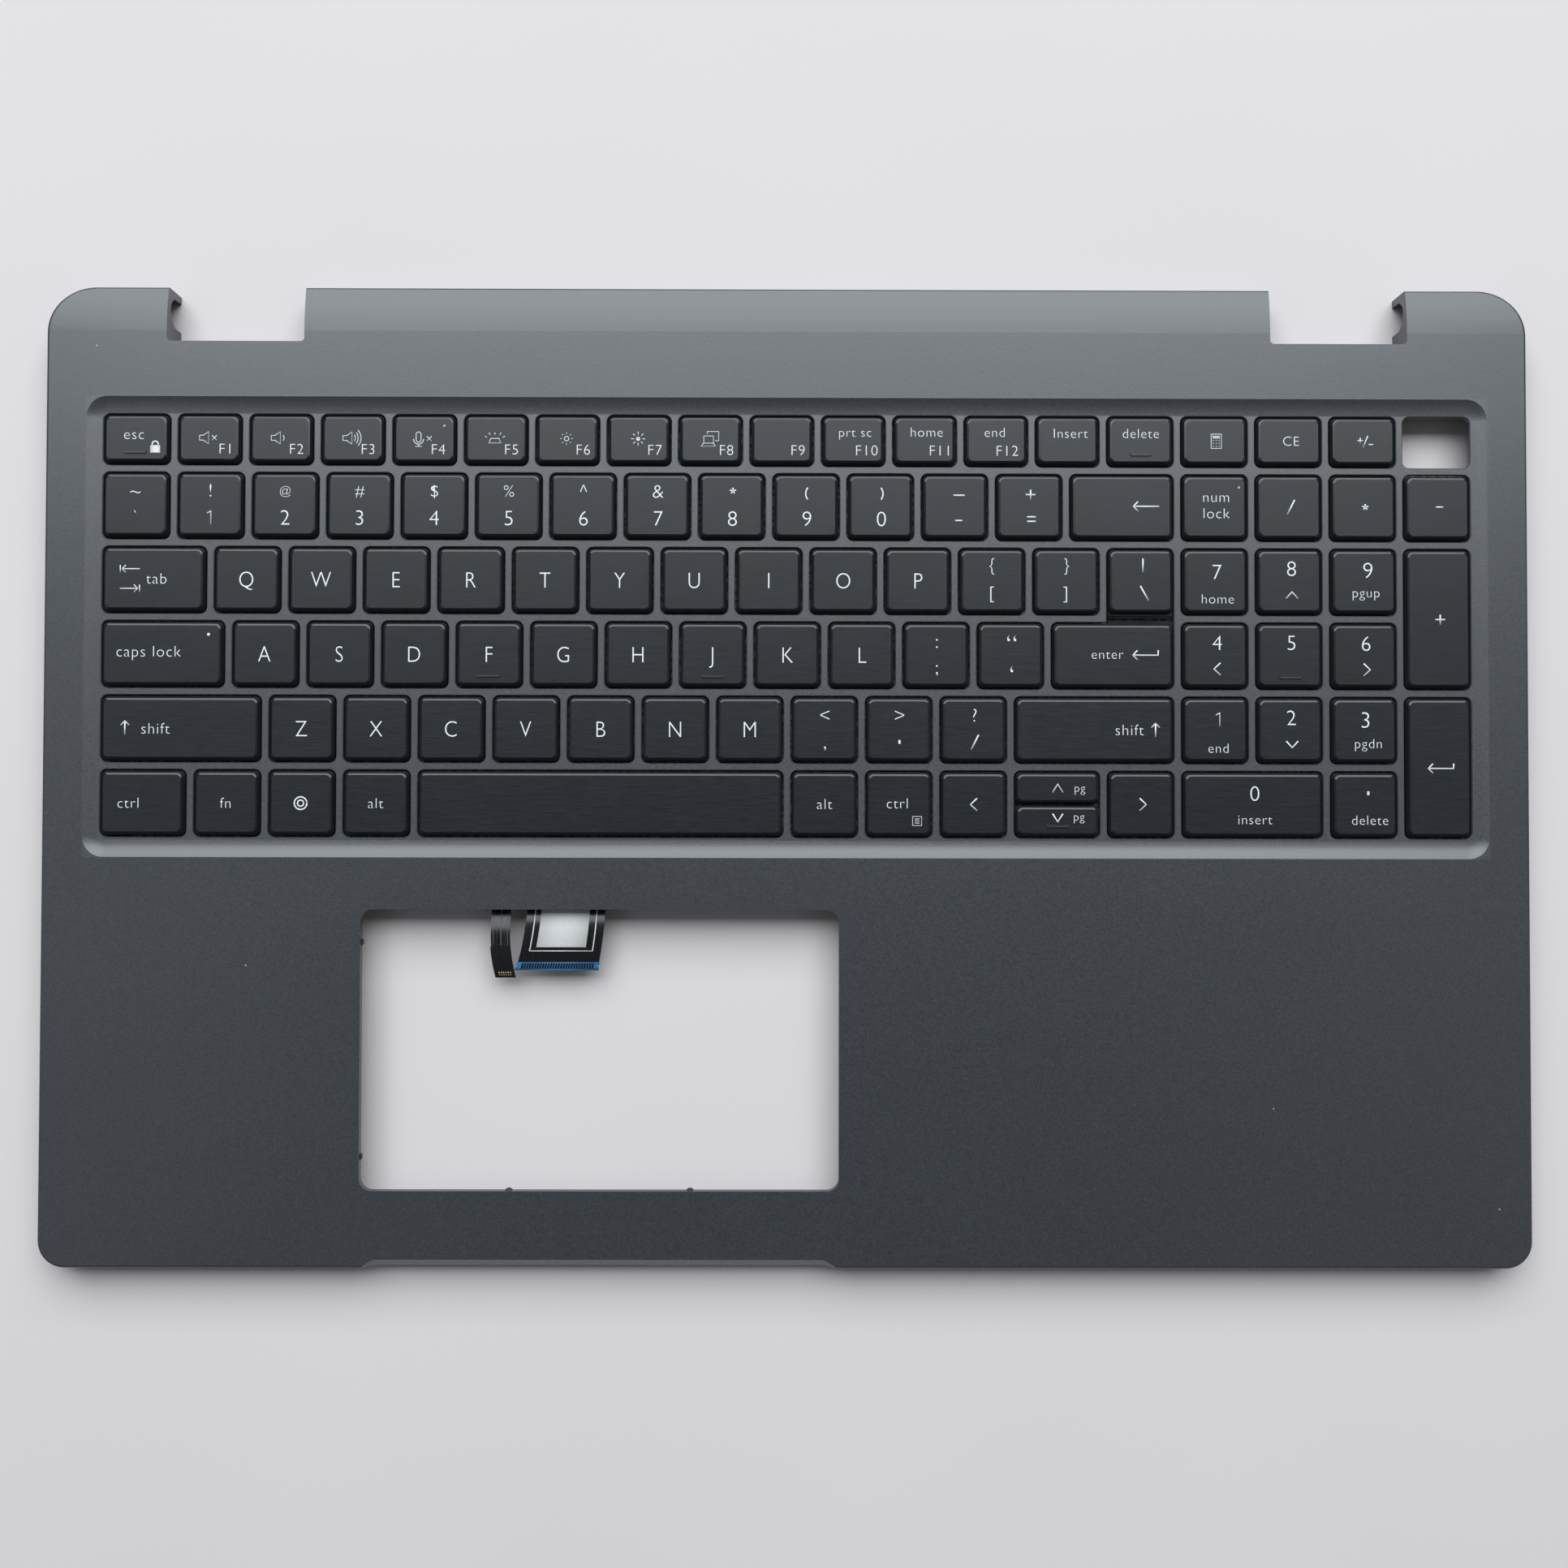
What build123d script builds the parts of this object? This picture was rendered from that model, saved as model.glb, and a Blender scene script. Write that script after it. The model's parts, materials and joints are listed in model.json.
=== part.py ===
"""Upper cover of a 15.6-inch laptop with its keyboard fitted from below.

Lengths are in millimetres. The origin lies under the middle of the cover, on the plane that its lower rim
stands on. +X runs to the right of the keyboard, +Y to the hinge side and +Z up through the keys.
"""

import os
from math import asin, degrees, sqrt

from build123d import *

# Key grid: one unit is one letter key with its share of the bars around it
key_pitch = 18.2
function_row_pitch = 14.3
lattice_bar = 1.74
opening_corner_radius = 1.65
opening_edge_chamfer = 0.2
opening_edge_angle = 45
main_block_units = 14.5
pad_units = 4.0
letter_rows = 5
narrow_function_keys = 13

# Upper cover, from the front edge to the hinge side
touchpad_front_margin = 18.6
touchpad_depth = 68.1
touchpad_gap = 12.6
recess_front_margin = 4.0
recess_side_margin = 2.8
recess_rear_margin = 3.2
rear_strip = 13.6
notch_depth = 13.6
cover_side_margin = 12.75
side_wall = 1.8
skin = 2.0
hollow_overrun = 1.0
rear_corner_radius = 11.5
front_corner_radius = 6.5
top_edge_round = 0.7
rear_roll_length = 11.0
rear_roll_drop = 1.2

# Key recess
recess_depth = 1.2
recess_corner_radius = 5.0
cove_width = 4.2
lattice_thickness = 1.3

# Touchpad opening and the finger scoop in front of it
touchpad_width = 116.2
touchpad_offset = -45.4
touchpad_corner_radius = 3.0
touchpad_tab_radius = 1.1
touchpad_tab_reach = 0.5
touchpad_tab_thickness = 0.8
touchpad_front_tab_spacing = 44.0
touchpad_side_tab_spacing = 52.0
touchpad_boss_radius = 2.0
touchpad_boss_length = 2.5
touchpad_boss_offset = 4.5
touchpad_boss_inset = 12.0
touchpad_pilot_radius = 0.8
touchpad_pilot_depth = 3.0
scoop_setback = 2.1
scoop_height = 3.0
scoop_end_run = 3.6
scoop_end_round = 2.0

# Hinge notches
notch_width = 33.6
notch_outer_margin = 29.3
notch_wall = 1.6
notch_corner_radius = 1.0
barrel_radius = 3.6
barrel_rear_gap = 1.8
barrel_roof = 2.3

# Brass inserts for the lower case and the hinges
insert_boss_radius = 3.0
insert_boss_length = 5.5
insert_boss_setback = 1.5
insert_radius = 1.9
insert_bore_radius = 1.25
insert_length = 3.5
insert_relief = 0.6
insert_clearance = 0.02
insert_side_inset = 12.5
insert_front_inset = 9.5
insert_wall_gap = 0.6
insert_plate_gap = 3.2
insert_middle_spacing = 120.0
hinge_screw_spacing = 20.0

# Keycaps
key_clearance = 0.35
key_rise = 0.95
key_height = 2.6
key_roof = 1.0
key_wall = 0.9
key_slope_height = 1.2
key_side_slope = 0.4
key_end_slope = 0.55
key_facet_width = 0.42
key_facet_height = 0.18
key_top_corner_radius = 1.0
key_travel = 1.5
press_clearance = 0.3
homing_bar_length = 5.2
homing_bar_width = 0.7
homing_bar_height = 0.3
homing_bar_inset = 2.6
skirt_steps = [(0.95, 0.6), (0.5, 1.1)]

# Keyboard stack under the keys
membrane_thickness = 0.3
plate_thickness = 0.5
backlight_thickness = 0.5
plate_margin = 3.0
plate_corner_radius = 2.0
window_length = 6.0
window_width = 2.0
window_offset = 4.4

# Rubber domes and scissor guides
dome_base_radius = 2.2
dome_base_thickness = 0.4
dome_shoulder_radius = 1.8
dome_top_radius = 1.35
dome_top_height = 0.8
dome_wall = 0.4
dome_top_gap = 0.05
scissor_width = 11.4
scissor_bar = 0.9
scissor_thickness = 0.8
scissor_play = 0.3
scissor_end_gap = 1.3
scissor_seat_gap = 0.1
scissor_pin_radius = 0.22
scissor_pin_clearance = 0.05
half_key_scissor_length = 9.0
half_key_scissor_offset = -4.2
half_key_dome_offset = 5.0
long_key_units = 3.0
long_key_guide_spacing = 28.0

# Stabiliser wires under the wide and the tall keys
wire_radius = 0.3
wire_gap = 0.3
wire_arm_inset = 1.4
wire_arm_run = 8.0
wire_foot = 1.5
wire_bend_radius = 0.8
wired_key_units = 1.5

# Screws that hold the keyboard to the cover
screw_offset = 2.9
screw_spacing = 80.0
side_screw_spacing = 62.0
screw_boss_radius = 2.2
screw_radius = 0.78
screw_hole_radius = 0.8
screw_plate_hole_radius = 0.95
screw_length = 2.2
screw_hole_relief = 0.2
screw_head_radius = 1.5
screw_head_height = 0.6
screw_drive_width = 0.35
screw_drive_length = 1.8
screw_drive_depth = 0.3

# Ribbons that hang into the touchpad opening
ribbon_width = 19.1
ribbon_centre = -53.95
ribbon_crest = (23.3, 3.5)
ribbon_tip = (31.6, 0.8)
ribbon_crest_radius = 14.0
ribbon_foot_run = 12.8
ribbon_foot_radius = 30.0
ribbon_flare_start = 15.0
ribbon_left_drift = -3.05
ribbon_right_drift = -2.05
stiffener_width = 20.2
stiffener_length = 2.0
stiffener_thickness = 0.2
lead_width = 4.7
lead_thickness = 0.2
lead_centre = -70.0
lead_route = [(0.0, 0.0), (7.8, 0.0), (13.8, 0.7), (26.0, 4.2), (33.5, 1.7)]
lead_bend_share = 0.45

# Places worked out from the sizes above
keys_wide = main_block_units + pad_units
block_width = keys_wide * key_pitch
block_depth = letter_rows * key_pitch + function_row_pitch
cover_width = block_width + 2 * cover_side_margin
palm_depth = touchpad_front_margin + touchpad_depth + touchpad_gap + recess_front_margin
rear_depth = recess_rear_margin + rear_strip + notch_depth
cover_depth = palm_depth + block_depth + rear_depth
cover_height = skin + insert_boss_length + insert_boss_setback
front_y = -cover_depth / 2
rear_y = cover_depth / 2
block_left = -block_width / 2
block_right = block_width / 2
block_front = front_y + palm_depth
block_rear = block_front + block_depth
function_row_front = block_rear - function_row_pitch
recess_front = block_front - recess_front_margin
recess_rear = block_rear + recess_rear_margin
recess_width = block_width + 2 * recess_side_margin
touchpad_rear = recess_front - touchpad_gap
touchpad_front = touchpad_rear - touchpad_depth
notch_front = rear_y - notch_depth
notch_centre = cover_width / 2 - notch_outer_margin - notch_width / 2
ceiling = cover_height - skin
lattice_top = cover_height - recess_depth
lattice_bottom = lattice_top - lattice_thickness
key_top = lattice_top + key_rise
key_bottom = key_top - key_height
key_ceiling = key_top - key_roof
dome_seat = key_bottom - key_travel - press_clearance
plate_top = dome_seat - membrane_thickness
plate_bottom = plate_top - plate_thickness
backlight_bottom = plate_bottom - backlight_thickness
rear_boss_y = notch_front - notch_wall - insert_wall_gap - insert_boss_radius
front_boss_y = front_y + insert_front_inset
middle_boss_y = block_front - screw_offset - plate_margin - insert_plate_gap - insert_boss_radius
corner_boss_x = cover_width / 2 - insert_side_inset
boss_bottom = insert_boss_setback
power_left = block_right - key_pitch

# Key rows from the function row down: each name with its width in units
function_unit = (main_block_units - 2) / narrow_function_keys
function_row = [("escape", 1)]
function_row += [(f"f{number}", function_unit) for number in range(1, 13)]
function_row += [("insert", function_unit), ("delete", 1)]
function_row += [("calculator", 1), ("clear_entry", 1), ("plus_minus", 1)]
number_row = [("backquote", 1)]
number_row += [(f"digit_{number % 10}", 1) for number in range(1, 11)]
number_row += [("hyphen", 1), ("equals", 1), ("backspace", 1.5)]
upper_row = [("tab", 1.5)] + [(letter, 1) for letter in "qwertyuiop"]
upper_row += [("left_bracket", 1), ("right_bracket", 1), ("backslash", 1)]
home_row = [("caps_lock", 1.75)] + [(letter, 1) for letter in "asdfghjkl"]
home_row += [("semicolon", 1), ("apostrophe", 1), ("enter", 1.75)]
lower_row = [("left_shift", 2.25)] + [(letter, 1) for letter in "zxcvbnm"]
lower_row += [("comma", 1), ("period", 1), ("slash", 1), ("right_shift", 2.25)]
bottom_row = [("left_ctrl", 1.25), ("function", 1), ("menu", 1), ("left_alt", 1), ("space", 5)]
bottom_row += [("right_alt", 1), ("right_ctrl", 1)]
bottom_row += [("left_arrow", 1), ("arrow_pair", 1.25), ("right_arrow", 1)]
pad_rows = [
    [("num_lock", 1), ("pad_divide", 1), ("pad_multiply", 1), ("pad_minus", 1)],
    [("pad_7", 1), ("pad_8", 1), ("pad_9", 1), ("pad_plus", 1)],
    [("pad_4", 1), ("pad_5", 1), ("pad_6", 1)],
    [("pad_1", 1), ("pad_2", 1), ("pad_3", 1), ("pad_enter", 1)],
    [("pad_0", 2), ("pad_point", 1)],
]
tall_keys = ("pad_plus", "pad_enter")
fixed_modifiers = ("left_ctrl", "function", "menu", "left_alt", "right_alt", "right_ctrl")
homing_keys = ("f", "j", "pad_5", "escape", "delete", "down_arrow")


def row_cells(row, left, rear, height):
    """Lay a row's keys side by side and return each name with its cell's centre and size."""
    cells = {}
    for name, units in row:
        width = units * key_pitch
        depth = height + key_pitch if name in tall_keys else height
        cells[name] = (left + width / 2, rear - depth / 2, width, depth)
        left += width
    return cells


def all_cells():
    """Return the cells of every opening in the lattice that holds a key."""
    pad_left = block_left + main_block_units * key_pitch
    cells = row_cells(function_row, block_left, block_rear, function_row_pitch)
    main_rows = (number_row, upper_row, home_row, lower_row, bottom_row)
    for index, (row, pad_row) in enumerate(zip(main_rows, pad_rows)):
        rear = function_row_front - index * key_pitch
        cells |= row_cells(row, block_left, rear, key_pitch)
        cells |= row_cells(pad_row, pad_left, rear, key_pitch)
    return cells


cells = all_cells()
power_middle = (block_right - key_pitch / 2, block_rear - function_row_pitch / 2)
power_cell = (*power_middle, key_pitch, function_row_pitch)


def caps_from_cells():
    """Return each keycap's centre and size: its cell less bar and clearance, and the arrow pair halved."""
    caps = {}
    margin = lattice_bar + 2 * key_clearance
    for name, (x, y, width, depth) in cells.items():
        if name == "arrow_pair":
            half = (depth - margin - key_clearance) / 2
            step = (half + key_clearance) / 2
            caps["up_arrow"] = (x, y + step, width - margin, half)
            caps["down_arrow"] = (x, y - step, width - margin, half)
        else:
            caps[name] = (x, y, width - margin, depth - margin)
    return caps


caps = caps_from_cells()
opening_sizes = {}
for x, y, width, depth in [*cells.values(), power_cell]:
    opening_sizes.setdefault((width - lattice_bar, depth - lattice_bar), []).append((x, y))
half_keys = ("up_arrow", "down_arrow")

key_screws = [(step * screw_spacing, y) for step in (-1.5, -0.5, 0.5, 1.5)
              for y in (block_front - screw_offset, block_rear + screw_offset)]
side_screw_middle = (block_front + function_row_front) / 2
key_screws += [(x, side_screw_middle + y) for x in (block_left - screw_offset, block_right + screw_offset)
               for y in (-side_screw_spacing / 2, side_screw_spacing / 2)]

hinge_inserts = [(side * notch_centre + step, rear_boss_y) for side in (-1, 1)
                 for step in (-hinge_screw_spacing / 2, hinge_screw_spacing / 2)]
case_inserts = [(side * corner_boss_x, y) for side in (-1, 1)
                for y in (front_boss_y, middle_boss_y, rear_boss_y)]
case_inserts += [(side * insert_middle_spacing / 2, y) for side in (-1, 1)
                 for y in (front_boss_y, rear_boss_y)]
insert_places = hinge_inserts + case_inserts

touchpad_boss_reach = touchpad_width / 2 + touchpad_boss_offset
touchpad_bosses = [(touchpad_offset + side * touchpad_boss_reach, y) for side in (-1, 1)
                   for y in (touchpad_front + touchpad_boss_inset, touchpad_rear - touchpad_boss_inset)]


def roll_radius(depth):
    """Return the radius of the rear roll-off, measured a depth below the outer face."""
    return (rear_roll_length**2 + rear_roll_drop**2) / (2 * rear_roll_drop) - depth


def section_points(inset, depth, bottom):
    """Return the corners of the cover's section along Y, from the end of the rear roll-off to its start."""
    radius = roll_radius(depth)
    top = cover_height - depth
    drop = radius - sqrt(radius**2 - (rear_roll_length - inset) ** 2)
    return [(rear_y - inset, top - drop), (rear_y - inset, bottom), (front_y + inset, bottom),
            (front_y + inset, top), (rear_y - rear_roll_length, top)]


def cover_outline(plan, inset):
    """Draw the cover's plan, drawn in by an inset, with larger corners on the hinge side."""
    Rectangle(cover_width - 2 * inset, cover_depth - 2 * inset)
    fillet(plan.vertices().group_by(Axis.Y)[-1], rear_corner_radius - inset)
    fillet(plan.vertices().group_by(Axis.Y)[0], front_corner_radius - inset)


def rectangle_between(left, front, right, rear):
    """Draw a rectangle between two corners."""
    with Locations(((left + right) / 2, (front + rear) / 2)):
        Rectangle(right - left, rear - front)


# The hollow under the cover: every boss, notch wall and the recess tub is left standing in it
with BuildPart() as hollow:
    with BuildSketch(Plane.YZ):
        with BuildLine():
            section = Polyline(*section_points(side_wall, skin, -hollow_overrun))
            RadiusArc(section @ 1, section @ 0, roll_radius(skin))
        make_face()
    extrude(amount=cover_width / 2, both=True)
    with BuildSketch(Plane.XY.offset(-hollow_overrun)) as hollow_plan:
        cover_outline(hollow_plan, side_wall)
    extrude(amount=cover_height + hollow_overrun, mode=Mode.INTERSECT)
    with BuildSketch(Plane.XY.offset(lattice_bottom)):
        tub = recess_width / 2 + skin
        rectangle_between(-tub, recess_front - skin, tub, recess_rear + skin)
    extrude(amount=cover_height, mode=Mode.SUBTRACT)
    with BuildSketch():
        half = notch_width / 2 + notch_wall
        for middle in (-notch_centre, notch_centre):
            rectangle_between(middle - half, notch_front - notch_wall, middle + half, rear_y)
    extrude(amount=cover_height, mode=Mode.SUBTRACT)
    with BuildSketch(Plane.XY.offset(boss_bottom)):
        with Locations(*insert_places):
            Circle(insert_boss_radius)
    extrude(amount=cover_height, mode=Mode.SUBTRACT)
    with BuildSketch(Plane.XY.offset(plate_top)):
        with Locations(*key_screws):
            Circle(screw_boss_radius)
    extrude(amount=cover_height, mode=Mode.SUBTRACT)
    with BuildSketch(Plane.XY.offset(ceiling - touchpad_boss_length)):
        with Locations(*touchpad_bosses):
            Circle(touchpad_boss_radius)
    extrude(amount=cover_height, mode=Mode.SUBTRACT)

# The key recess: its coved wall meets the top of the cover at an edge
cove_radius = (cove_width**2 + recess_depth**2) / (2 * recess_depth)
cove_overrun = cove_radius - cove_width
with BuildPart() as recess:
    with BuildSketch(Plane.XY.offset(lattice_top)):
        with Locations((0, (recess_front + recess_rear) / 2)):
            RectangleRounded(recess_width + 2 * cove_overrun, recess_rear - recess_front + 2 * cove_overrun,
                             recess_corner_radius + cove_overrun)
    extrude(amount=2 * cove_radius)
    fillet(recess.faces().sort_by(Axis.Z)[0].edges(), cove_radius)

# The finger scoop: a sloped cut along the front edge, as wide as the touchpad opening
scoop_left = touchpad_offset - touchpad_width / 2
scoop_right = touchpad_offset + touchpad_width / 2
scoop_slope = Vector(0, -scoop_setback, -scoop_height).normalized()
with BuildPart() as scoop:
    with BuildSketch(Plane.XY.offset(cover_height)):
        with BuildLine():
            outer = front_y - 2 * scoop_setback
            scoop_edge = FilletPolyline((scoop_left - scoop_end_run, front_y), (scoop_left, front_y),
                                        (scoop_left + scoop_end_run, front_y + scoop_setback),
                                        (scoop_right - scoop_end_run, front_y + scoop_setback),
                                        (scoop_right, front_y), (scoop_right + scoop_end_run, front_y),
                                        radius=scoop_end_round)
            Polyline(scoop_edge @ 1, (scoop_right + scoop_end_run, outer),
                     (scoop_left - scoop_end_run, outer), scoop_edge @ 0)
        make_face()
    extrude(amount=2 * scoop_height, dir=scoop_slope)

with BuildPart() as upper_cover:
    with BuildSketch(Plane.YZ):
        with BuildLine():
            section = Polyline(*section_points(0, 0, 0))
            RadiusArc(section @ 1, section @ 0, roll_radius(0))
        make_face()
    extrude(amount=cover_width / 2, both=True)
    with BuildSketch() as cover_plan:
        cover_outline(cover_plan, 0)
    extrude(amount=cover_height, mode=Mode.INTERSECT)
    top_face = upper_cover.faces().filter_by(Axis.Z).sort_by(Axis.Z)[-1]
    shared = [edge for edge in top_face.edges() if edge.length > cover_width / 2 and edge.center().Y > 0]
    roll_fall = rear_roll_drop + top_edge_round
    rim_edges = top_face.edges() + upper_cover.edges().filter_by(
        lambda edge: edge.center().Z > cover_height - roll_fall
        and edge.center().Y > rear_y - rear_roll_length and edge.bounding_box().size.Z < roll_fall)
    fillet([edge for edge in ShapeList(set(rim_edges)) if edge not in shared], top_edge_round)
    add(hollow.part, mode=Mode.SUBTRACT)
    add(recess.part, mode=Mode.SUBTRACT)
    add(scoop.part, mode=Mode.SUBTRACT)
    # Touchpad opening with the small tabs that show under its front and left edges
    with BuildSketch(Plane.XY.offset(cover_height)):
        with Locations((touchpad_offset, (touchpad_front + touchpad_rear) / 2)):
            RectangleRounded(touchpad_width, touchpad_depth, touchpad_corner_radius)
    extrude(amount=-2 * skin, mode=Mode.SUBTRACT)
    with BuildSketch(Plane.XY.offset(ceiling)):
        for side in (-1, 1):
            with Locations((touchpad_offset + side * touchpad_front_tab_spacing / 2,
                            touchpad_front + touchpad_tab_reach - touchpad_tab_radius),
                           (scoop_left + touchpad_tab_reach - touchpad_tab_radius,
                            (touchpad_front + touchpad_rear + side * touchpad_side_tab_spacing) / 2)):
                Circle(touchpad_tab_radius)
    extrude(amount=touchpad_tab_thickness)
    # Hinge notches, with room for the hinge barrels in their side walls
    with BuildSketch():
        for side in (-1, 1):
            with Locations((side * notch_centre, notch_front + notch_depth)):
                RectangleRounded(notch_width, 2 * notch_depth, notch_corner_radius)
    extrude(amount=cover_height, mode=Mode.SUBTRACT)
    barrel_y = rear_y - barrel_rear_gap - barrel_radius
    barrel_z = cover_height - barrel_roof - barrel_radius
    for side in (-1, 1):
        with BuildSketch(Plane.YZ.offset(side * notch_centre)):
            with Locations((barrel_y, barrel_z)):
                Circle(barrel_radius)
            rectangle_between(barrel_y - barrel_radius, 0, barrel_y + barrel_radius, barrel_z)
        extrude(amount=notch_width / 2 + 2 * notch_wall, both=True, mode=Mode.SUBTRACT)
    # Holes for the inserts and for the screws of the keyboard and the touchpad
    with BuildSketch(Plane.XY.offset(boss_bottom)):
        with Locations(*insert_places):
            Circle(insert_radius + insert_clearance)
    extrude(amount=insert_length + insert_relief, mode=Mode.SUBTRACT)
    with BuildSketch(Plane.XY.offset(plate_top)):
        with Locations(*key_screws):
            Circle(screw_hole_radius)
    extrude(amount=screw_length + screw_hole_relief, mode=Mode.SUBTRACT)
    with BuildSketch(Plane.XY.offset(ceiling - touchpad_boss_length)):
        with Locations(*touchpad_bosses):
            Circle(touchpad_pilot_radius)
    extrude(amount=touchpad_pilot_depth, mode=Mode.SUBTRACT)
    # Openings in the lattice, one for each key, for the arrow pair and for the missing power button
    with BuildSketch(Plane.XY.offset(lattice_top - opening_edge_chamfer)) as openings:
        for (width, depth), places in opening_sizes.items():
            with Locations(*places):
                RectangleRounded(width, depth, opening_corner_radius)
        x, y, width, depth = cells["backslash"]
        with Locations((x, y - depth / 2)):
            Rectangle(width - lattice_bar, depth - 2 * lattice_bar)
    extrude(openings.sketch, amount=-2 * lattice_thickness, mode=Mode.SUBTRACT)
    extrude(openings.sketch, amount=2 * opening_edge_chamfer, taper=-opening_edge_angle, mode=Mode.SUBTRACT)


def stack_outline(margin):
    """Draw a keyboard layer's plan: the key block with a margin, cut back below the power button."""
    rectangle_between(block_left - margin, block_front - margin, block_right + margin, block_rear + margin)
    rectangle_between_cut(power_left, function_row_front, block_right + 2 * margin + key_pitch,
                          block_rear + 2 * margin + key_pitch)


def rectangle_between_cut(left, front, right, rear):
    """Cut a rectangle between two corners out of the sketch."""
    with Locations(((left + right) / 2, (front + rear) / 2)):
        Rectangle(right - left, rear - front, mode=Mode.SUBTRACT)


with BuildPart() as support_plate:
    with BuildSketch(Plane.XY.offset(plate_bottom)) as plate_plan:
        stack_outline(screw_offset + plate_margin)
        fillet(plate_plan.vertices(), plate_corner_radius)
        with Locations(*key_screws):
            Circle(screw_plate_hole_radius, mode=Mode.SUBTRACT)
        # Light windows on both sides of each dome
        windows = [(x + side * window_offset, y) for x, y, _, _ in cells.values() for side in (-1, 1)]
        with Locations(*windows):
            Rectangle(window_width, window_length, mode=Mode.SUBTRACT)
    extrude(amount=plate_thickness)

with BuildPart() as switch_membrane:
    with BuildSketch(Plane.XY.offset(plate_top)):
        stack_outline(0)
    extrude(amount=membrane_thickness)

with BuildPart() as backlight_panel:
    with BuildSketch(Plane.XY.offset(backlight_bottom)):
        stack_outline(0)
    extrude(amount=backlight_thickness)

with BuildPart() as keyboard_screws:
    with BuildSketch(Plane.XY.offset(plate_bottom)):
        with Locations(*key_screws):
            Circle(screw_radius)
    extrude(amount=plate_thickness + screw_length)
    with BuildSketch(Plane.XY.offset(plate_bottom)):
        with Locations(*key_screws):
            Circle(screw_head_radius)
    extrude(amount=-screw_head_height)
    with BuildSketch(Plane.XY.offset(plate_bottom - screw_head_height)):
        with Locations(*key_screws):
            Rectangle(screw_drive_length, screw_drive_width)
            Rectangle(screw_drive_width, screw_drive_length)
    extrude(amount=screw_drive_depth, mode=Mode.SUBTRACT)

with BuildPart() as threaded_inserts:
    with BuildSketch(Plane.XY.offset(boss_bottom)):
        with Locations(*insert_places):
            Circle(insert_radius)
            Circle(insert_bore_radius, mode=Mode.SUBTRACT)
    extrude(amount=insert_length)

# One rubber dome, hollow below, standing on the membrane
dome_top = key_ceiling - dome_top_gap
with BuildPart() as dome:
    with BuildSketch(Plane.XZ):
        with BuildLine():
            Polyline((dome_shoulder_radius - dome_wall, dome_seat), (dome_base_radius, dome_seat),
                     (dome_base_radius, dome_seat + dome_base_thickness),
                     (dome_shoulder_radius, dome_seat + dome_base_thickness),
                     (dome_top_radius, dome_top - dome_top_height), (dome_top_radius, dome_top),
                     (0, dome_top), (0, dome_top - dome_top_height - dome_wall),
                     (dome_top_radius - dome_wall, dome_top - dome_top_height - dome_wall), close=True)
        make_face()
    revolve(axis=Axis.Z)


def guide_places(name):
    """Return where a key's scissor guides stand, seen from its centre."""
    if name in half_keys:
        return [half_key_scissor_offset]
    if caps[name][2] > long_key_units * key_pitch:
        return [-long_key_guide_spacing, 0, long_key_guide_spacing]
    return [0]


def guide_size(name):
    """Return a scissor guide's length and width and its turn about the vertical."""
    inner_depth = min(caps[name][3], key_pitch - lattice_bar - 2 * key_clearance) - 2 * key_wall
    if name in half_keys:
        return half_key_scissor_length, inner_depth - 2 * scissor_play, 90
    return inner_depth - 2 * scissor_end_gap, scissor_width, 0


def scissor_pair(length, width):
    """Make the two crossed frames of a scissor guide, centred on the origin at mid height."""
    rise = key_ceiling - dome_seat - 2 * scissor_seat_gap - scissor_thickness
    tilt = degrees(asin(rise / length))
    inner_width = width - 2 * scissor_bar - 2 * scissor_play
    with BuildPart() as outer_frame:
        with BuildSketch(Plane.XY.offset(-scissor_thickness / 2)):
            Rectangle(width, length)
            Rectangle(width - 2 * scissor_bar, length - 2 * scissor_bar, mode=Mode.SUBTRACT)
        extrude(amount=scissor_thickness)
        with BuildSketch(Plane.YZ):
            Circle(scissor_pin_radius + scissor_pin_clearance)
        extrude(amount=width / 2, both=True, mode=Mode.SUBTRACT)
    with BuildPart() as inner_frame:
        with BuildSketch(Plane.XY.offset(-scissor_thickness / 2)):
            Rectangle(inner_width, length)
        extrude(amount=scissor_thickness)
        with BuildSketch(Plane.YZ):
            Circle(scissor_pin_radius)
        extrude(amount=width / 2, both=True)
        with BuildSketch(Plane.XY.offset(-scissor_thickness / 2)):
            Rectangle(inner_width - 2 * scissor_bar, length - 2 * scissor_bar)
        extrude(amount=scissor_thickness, mode=Mode.SUBTRACT)
    return outer_frame.part.rotate(Axis.X, tilt), inner_frame.part.rotate(Axis.X, -tilt)


dome_places = []
guide_frames = {}
for name, (x, y, width, depth) in caps.items():
    dome_places.append((x + (half_key_dome_offset if name in half_keys else 0), y))
    length, guide_width, turn = guide_size(name)
    for step in guide_places(name):
        guide_frames.setdefault((length, guide_width), []).append(Location((x + step, y, 0), (0, 0, turn)))

with BuildPart() as rubber_domes:
    with Locations(*dome_places):
        add(dome.part)

guide_height = (key_ceiling + dome_seat) / 2
frames = [frame.moved(place * Location((0, 0, guide_height)))
          for (length, width), places in guide_frames.items()
          for frame in scissor_pair(length, width) for place in places]
scissor_guides = Compound(children=frames)


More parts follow.
